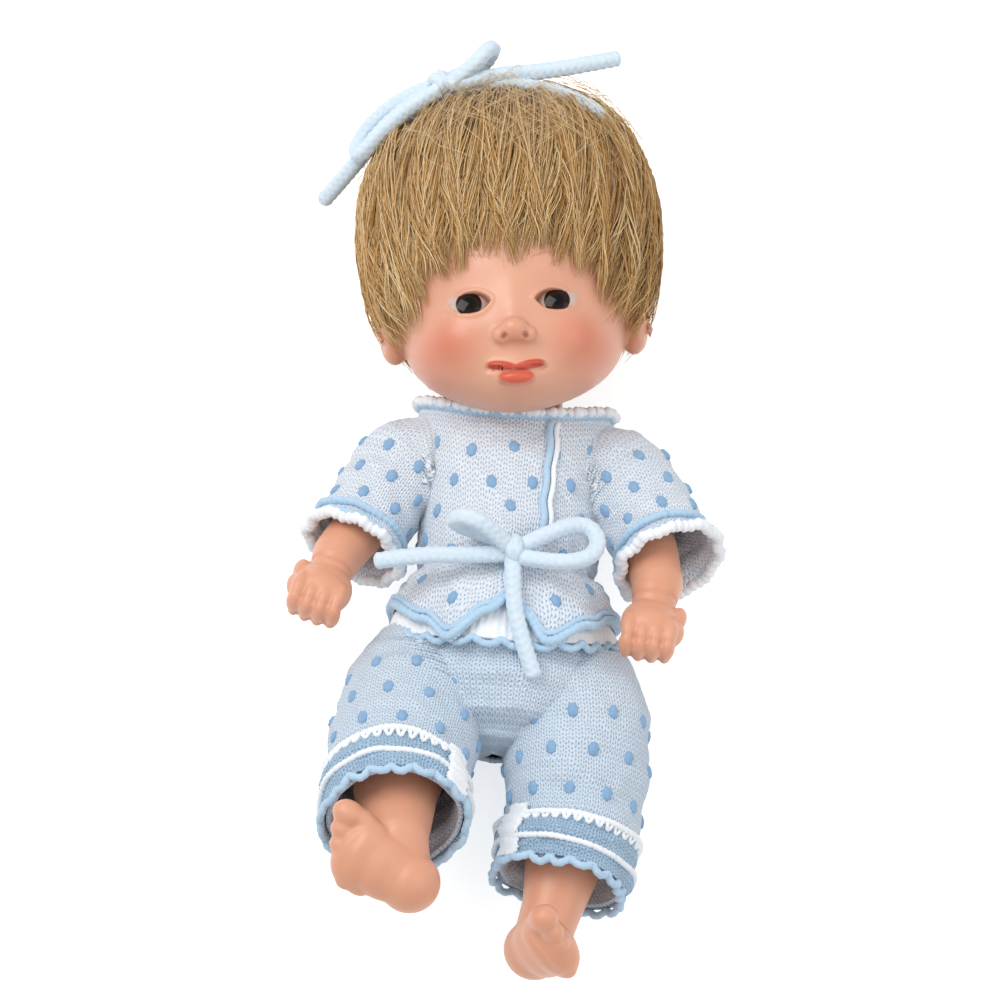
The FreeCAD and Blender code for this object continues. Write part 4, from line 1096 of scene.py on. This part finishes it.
# --- sleeves, arms and fists
arms = {
    "left": {"side": 1, "sleeve": [(14, 3, 21), (25, 2.5, 23), (32.5, -9, 27), (37.5, -20.5, 32)],
             "sleeveRadii": ((0, 10.5), (0.3, 12.4), (0.6, 11.6), (0.85, 11.2), (1, 12.2)),
             "route": [(20, -2, 21), (27, -8, 25), (33, -17, 29), (35, -26.5, 34.5), (33.5, -39, 39.5)],
             "seed": 3.0},
    "right": {"side": -1, "sleeve": [(-14, 3, 21), (-25, 2.5, 22.5), (-31, -8.5, 25.5), (-36, -21, 29.5)],
              "sleeveRadii": ((0, 10.5), (0.3, 12.0), (0.6, 11.2), (0.85, 10.6), (1, 11.4)),
              "route": [(-20, -2, 21), (-27, -8, 25), (-34.5, -16, 29), (-39, -24.5, 33.5), (-42, -35, 38.5)],
              "seed": 9.0},
    "limb": (5.8, 6.3, 6.6, 6.0, 5.2), "folds": 0.75,
}


def bone(points, radii, spacing=1.6):
    # a chain of lumps that makes one tapered limb
    lumps = []
    for (a, b), (ra, rb) in zip(zip(points, points[1:]), zip(radii, radii[1:])):
        a, b = Vector(a), Vector(b)
        count = max(2, round((b - a).length / spacing))
        for n in range(count + 1):
            share = n / count
            size = ra + (rb - ra) * share
            lumps.append(egg(a.lerp(b, share), (size, size, size), None, 24, 14))
    return lumps


def pointed(direction, up):
    # a turn whose Y axis follows direction and Z axis leans towards up
    y = Vector(direction).normalized()
    x = y.cross(Vector(up)).normalized()
    z = x.cross(y)
    return Matrix((x, y, z)).transposed().to_quaternion()


def makeArm(name, skin, yarns):
    arm = arms[name]
    side, route = arm["side"], [Vector(p) for p in arm["route"]]
    middle, wrist = route[4], route[3] + (route[4] - route[3]) * 0.42
    lumps = bone(route[:4] + [wrist], arms["limb"])
    along = (middle - wrist).normalized()
    across = along.cross(Vector((0, 0, 1))).normalized() * side
    up = (across.cross(along) * side).normalized()
    turn = pointed(along, up)
    lumps.append(egg(middle - along * 1.0, (6.9, 6.4, 5.6), turn))
    lumps.append(egg(middle + up * 1.6 + along * 0.6, (6.3, 5.2, 4.6), turn))
    for number in range(4):
        place = across * (4.75 - 3.15 * number)
        shorter = (0.5, 0.0, 0.1, 0.7)[number]
        lumps.append(egg(middle + place + along * (3.2 - shorter) + up * 3.4, (1.85, 3.9, 2.2), turn))
        lumps.append(egg(middle + place + along * (6.6 - shorter) + up * 1.1, (1.8, 2.2, 3.2), turn))
        tip = middle + place * 0.95 + along * (5.2 - shorter) - up * 1.9
        lumps.append(egg(tip, (1.75, 3.0, 2.0), turn))
    thumb = -across * 6.0
    lean = pointed(along + across * 0.35, up)
    lumps.append(egg(middle + thumb * 0.9 - along * 2.4 + up * 0.8, (2.4, 4.2, 2.6), lean))
    lumps.append(egg(middle + thumb * 0.98 + along * 2.2 + up * 1.6, (1.95, 3.3, 2.1), lean))
    obj = joinClay(lumps, name + "VinylArm", skin, 0.42, 3, 0.45)
    crease = []
    for n in range(13):
        angle = 2 * math.pi * n / 12
        crease.append(wrist + (across * math.cos(angle) + up * math.sin(angle)) * 5.3)
    sink(obj, [(crease, 0.5, 0.6)])
    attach(obj, "arm_" + name)
    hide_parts(name + "_arm")
    cover = limbWrap(arm["sleeve"], arm["sleeveRadii"], arms["folds"], arm["seed"])
    sleeve = wrapGrid(name + "KnitSleeve", 130, 80, cover, knit(name + "SleeveKnit", 74, 38),
                      thickness=cloth["thickness"])
    dots = knitDots(name + "SleeveDots", cover, dotRows(78, 38, 9.6, 0.30, 0.86), yarns["dot"])
    seam = edging(name + "SleeveSeam", ringRound(cover, 0.87, 120, 0.35), 0.8, yarns["blue"], 0.35, 1.5)
    frill = edging(name + "SleeveFrill", ringRound(cover, 1.0, 120, 0.2, 0.5), 1.0, yarns["trim"], 0.55, 1.8)
    picot = edging(name + "SleevePicot", ringRound(cover, 0.975, 120, 0.7, 0.3), 0.5, yarns["blue"], 0.6, 1.8)
    for piece in (sleeve, dots):
        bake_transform(piece)
    for piece in (seam, frill, picot):
        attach(piece, "arm_" + name)
    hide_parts(name + "_sleeve", name + "_sleeve_cuff")
    print(name, "arm and sleeve made")


def ringRound(place, share, count, lift, wave=0.0):
    # closed line of points round a wrap, lifted off it, with a loose wave
    points = []
    for n in range(count + 1):
        u = n / count
        spot = Vector(place(u, share))
        inner = Vector(place((u + 0.5) % 1.0, share))
        out = (spot - inner).normalized()
        points.append(spot + out * (lift + wave * math.sin(u * 2 * math.pi * 11 + share)))
    return points


# --- trousers, legs and bare feet
legs = {
    "left": {"side": 1, "raise": 10.0, "seed": 14.0,
             "toes": (0.35, 0.0, 0.93), "sole": (-0.65, -0.7, 0.245), "shift": (1.0, -6, 2),
             "cloth": [(15.5, -46, 21), (18, -56.5, 22), (19.2, -70, 24), (18.6, -84.5, 26.2),
                       (16.6, -96.5, 28.2)],
             "radii": ((0, 15.5), (0.22, 17.2), (0.45, 16.8), (0.7, 15.6), (0.86, 14.6), (1, 14.2))},
    "right": {"side": -1, "raise": 40.0, "seed": 23.0,
              "toes": (-0.89, 0.43, 0.14), "sole": (0, -0.31, 0.95), "shift": (-1.5, -6, -2),
              "cloth": [(-15.5, -46, 21), (-18.5, -55.5, 24.5), (-20.8, -67, 31.8), (-22, -79, 40),
                        (-21.4, -88.5, 46.8)],
              "radii": ((0, 15.5), (0.22, 17.4), (0.45, 17.0), (0.7, 16.0), (0.86, 15.2), (1, 14.8))},
    "limb": (11.0, 12.0, 12.0, 9.8, 7.0), "folds": 0.8, "cuff": 0.8,
}


def makeLeg(name, skin, yarns):
    leg = legs[name]
    side, lift = leg["side"], math.radians(leg["raise"])
    axis = Vector((side * 0.866, -0.5, 0))
    down = Vector((-side * 0.5, -0.866, 0)) * math.cos(lift) + Vector((0, 0, 1)) * math.sin(lift)
    hip = Vector((side * 15, -50, 21))
    route = [hip + axis * a + down * b for a, b in ((2, 2), (6, 5), (14, 17), (21, 30), (26.5, 46))]
    lumps = bone(route, legs["limb"])
    toes = Vector(leg["toes"]).normalized()
    sole = Vector(leg["sole"])
    sole = (sole - toes * sole.dot(toes)).normalized()
    across = toes.cross(sole).normalized()
    inner = across * -side                                       # towards the big toe
    middle = route[4] + down * 2.5 + sole * 4.0 + Vector(leg["shift"])
    turn = Matrix((across, toes, -sole)).transposed().to_quaternion()
    lumps.append(egg(middle + toes * 2.5, (7.2, 10.0, 5.4), turn))
    lumps.append(egg(middle + toes * 8.0 + sole * 0.2, (8.2, 6.2, 5.0), turn))
    lumps.append(egg(middle - toes * 4.4 - sole * 1.0, (6.9, 6.9, 6.6), turn))
    lumps += bone([route[4], middle - toes * 2.5 - sole * 2.0], (7.0, 6.4))
    lumps.append(egg(route[4] + down * 0.5, (6.8, 6.8, 6.8)))
    reach = 6.3
    for number, toe in enumerate((3.3, 2.65, 2.5, 2.3, 2.1)):
        spot = middle + toes * (14.8 - 0.3 * number * number - 0.5 * number) + inner * reach
        lumps.append(egg(spot + sole * 0.6, (toe * 0.95, toe * 1.15, toe), turn, 24, 14))
        lumps.append(egg(spot - toes * 2.6 + sole * 0.2, (toe * 0.85, toe * 1.5, toe * 0.85), turn, 24, 14))
        reach -= 3.6 if number == 0 else 3.15
    obj = joinClay(lumps, name + "VinylLeg", skin, 0.5, 3, 0.45)
    base = middle + toes * 10.0 + sole * 4.7
    arch = [middle - toes * 1.0 + sole * 4.2 + across * 5, middle + toes * 1.0 + sole * 5.0,
            middle + sole * 4.4 - across * 5]
    ball = [base + across * 6.0, base + toes * 0.8, base - across * 6.0]
    sink(obj, [(ball, 0.35, 0.8), (arch, 0.3, 1.2)])
    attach(obj, "leg_" + name)
    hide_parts(name + "_leg")
    cover = limbWrap(leg["cloth"], leg["radii"], legs["folds"], leg["seed"], 0.2)
    material = knit(name + "TrouserKnit", 104, 54, "trouserYarn", "trouserPaintedShade")
    trouser = wrapGrid(name + "KnitTrouser", 170, 130, cover, material, thickness=cloth["thickness"])
    dots = knitDots(name + "TrouserDots", cover, dotRows(106, 54, 9.8, 0.22, 0.76), yarns["dot"])
    low = legs["cuff"]

    def cuffPlace(u, v):
        spot = Vector(cover(u, low + (1.0 - low) * v))
        inner = Vector(cover((u + 0.5) % 1.0, low + (1.0 - low) * v))
        out = (spot - inner).normalized()
        swell = 1.0 + 0.7 * math.sin(math.pi * v) + 0.25 * math.sin(v * 20 + 5 * noise.noise(spot * 0.12))
        spot += out * swell
        spot.z = max(spot.z, 0.2)
        return spot

    ribbing = stockinette(name + "CuffKnit", cloth["cuffYarn"], cloth["cuffPaintedShade"], 64, 12, 1.2)
    cuff = wrapGrid(name + "FoldedCuff", 150, 34, cuffPlace, ribbing, thickness=0.9)
    arcs = []
    for n in range(561):
        u = n / 560
        arcs.append(cuffPlace(u, 0.06 + 0.10 * math.sin(2 * math.pi * n / 14)) + Vector((0, 0, 0.25)))
    overlock = edging(name + "CuffOverlock", arcs, 0.42, yarns["trim"], 0.2, 1.5)
    topRow = edging(name + "CuffTopRow", ringRound(cuffPlace, 0.0, 130, 0.3), 0.55, yarns["trim"], 0.5, 1.4)
    midRow = edging(name + "CuffMidRow", ringRound(cuffPlace, 0.62, 130, 0.35), 0.5, yarns["trim"], 0.6, 1.3)
    scallop = []
    for n in range(241):
        u = n / 240
        spot = Vector(cuffPlace(u, 1.0))
        before = Vector(cuffPlace(u, 0.9))
        fall = (spot - before).normalized()
        scallop.append(spot + fall * (0.3 + 1.4 * abs(math.sin(math.pi * n / 12))))
    hem = edging(name + "CuffScallops", scallop, 0.8, yarns["blue"], 0.2, 1.5)
    # overlocked inner seam: white loops down the inside of the cuff
    facing = Vector((-side, 0, 0.75))
    inside = max((n / 60 for n in range(60)), key=lambda u: facing.dot(cuffPlace(u, 0.5)))
    loops = []
    for n in range(181):
        v = -0.25 + 1.27 * n / 180
        wide = inside + 0.034 * math.sin(2 * math.pi * n / 9)
        spot = cuffPlace(wide, v) if v > 0 else cover(wide, low + 0.2 * v) + Vector((0, 0, 0.8))
        loops.append(spot + Vector((-side * 0.5, 0, 0.5)))
    seam = edging(name + "CuffSeam", loops, 0.45, yarns["trim"], 0.2, 1.4)
    pieces = [cuff, overlock, topRow, midRow, hem, seam]
    for piece in pieces:
        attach(piece, "leg_" + name)
    for piece in (trouser, dots):
        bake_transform(piece)
    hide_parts(name + "_trouser_leg", name + "_trouser_cuff")
    print(name, "leg and trouser made")


# --- knots, the band round the head, and the casing parts inside
def makeKnots(yarn):
    spots = (("waist_knot", "torso", (1.2, -24.8, 47.6), (1.0, 0.25, 0), 2.1),
             ("headband_knot", "head", (-12.6, 90.2, 51.6), (0.85, 0.5, -0.1), 2.0))
    for name, body, middle, axis, reach in spots:
        middle, axis = Vector(middle), Vector(axis).normalized()
        side = axis.cross(Vector((0, 0, 1))).normalized()
        up = axis.cross(side)
        for number, shift in enumerate((-1.3, 1.3)):
            ring = []
            for n in range(11):
                angle = 2 * math.pi * n / 9 + 0.7 + number
                ring.append(middle + axis * (shift + 0.13 * n * (1 - 2 * number)) +
                            (side * math.cos(angle) + up * math.sin(angle)) * reach)
            if body == "head":
                ring = [turnedWithHead(p) for p in ring]
            obj = knittedCord(name + "Turn" + str(number + 1), ring, 3.0, yarn)[0]
            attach(obj, body)
            if number == 0:
                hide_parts(name)
    print("knots made")


def makeHeadband(yarn):
    # cord round the hair in a plane leaning back from the brow
    middle, radii = Vector(hair["middle"]), Vector(hair["radii"])
    base, lean = Vector((0, 62, 32.8)), math.radians(35)
    out = Vector((0, math.cos(lean), math.sin(lean)))
    points = []
    for n in range(41):
        angle = 2 * math.pi * n / 40 + 1.9
        direction = Vector((1, 0, 0)) * math.cos(angle) + out * math.sin(angle)
        reach = 20.0
        while sum(((base + direction * reach - middle)[k] / radii[k]) ** 2 for k in range(3)) < 1:
            reach += 0.1
        sunk = 5.5 * max(0.0, abs(math.cos(angle)) - 0.72) / 0.28      # the side hair hides the band
        spot = turnedWithHead(base + direction * (reach + 0.7 - sunk))
        spot.z = max(spot.z, 2.3)
        points.append(spot)
    obj = knittedCord("headbandCord", points, 3.3, yarn)[0]
    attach(obj, "head")
    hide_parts("headband")
    print("headband made")


# colour, roughness, metal, nodes
casing = {
    "skinPlastic": ("#D9A184", 0.5, 0.0,
                    ("torso_back_shell", "torso_front_shell", "neck_knob", "battery_door")),
    "screwSteel": ("#B9BCC0", 0.3, 1.0, ("torso_screws",)),
    "nickelCell": ("#C8C9C6", 0.25, 1.0,
                   ("battery_cell_1", "battery_cell_2", "battery_cell_3", "speaker_magnet")),
    "brassContact": ("#B99A52", 0.3, 1.0, ("battery_contacts",)),
    "boardLacquer": ("#1F6A3A", 0.45, 0.0, ("circuit_board",)),
    "blackNylon": ("#1B1B1C", 0.5, 0.0, ("voice_chip", "tact_switch", "speaker_frame", "power_switch")),
    "coatedPaper": ("#2A2724", 0.85, 0.0, ("speaker_cone",)),
    "whiteAcetal": ("#E8E6DF", 0.4, 0.0, ("tummy_button",)),
    "clearSilicone": ("#C9C6BF", 0.35, 0.0, ("button_spring",)),
}


def dressCasing():
    for name, (colour, roughness, metal, nodes) in casing.items():
        material, tree, shader = newMaterial(name, {"Metallic": metal})
        coord = addNode(tree, "ShaderNodeTexCoord")
        grain = softNoise(tree, (coord, "Object"), 700, 3.0)
        rough = addNode(tree, "ShaderNodeMapRange", {3: roughness - 0.08, 4: roughness + 0.1},
                        {0: (grain, "Fac")})
        link(tree, rough, 0, shader, "Roughness")
        dull = Vector(linear(colour)[:3]) * 0.82
        tint = addNode(tree, "ShaderNodeMix", {"data_type": "RGBA", 6: linear(colour), 7: (*dull, 1.0)},
                       {0: (grain, "Fac")})
        link(tree, tint, 2, shader, "Base Color")
        for node in nodes:
            part = bpy.data.objects.get(node)
            if part:
                part.data.materials.clear()
                part.data.materials.append(material)
    print("casing dressed")


# --- make it all
setUpView()
cordYarn = softYarn("acrylicCord", ("#C9DEEE", "#E4EEF6"))
makeTies(cordYarn)
makeKnots(cordYarn)
makeHeadband(cordYarn)
makeHead()
makeEyes()
makeHair()
yarns = clothMaterials()
makeJacket(yarns)
makeLining(yarns)
makeSeat(yarns)
limbSkin = vinylSkin("vinylLimb", ("#DC9A7A", "#E2A587"))
for side in ("left", "right"):
    makeArm(side, limbSkin, yarns)
    makeLeg(side, limbSkin, yarns)
dressCasing()
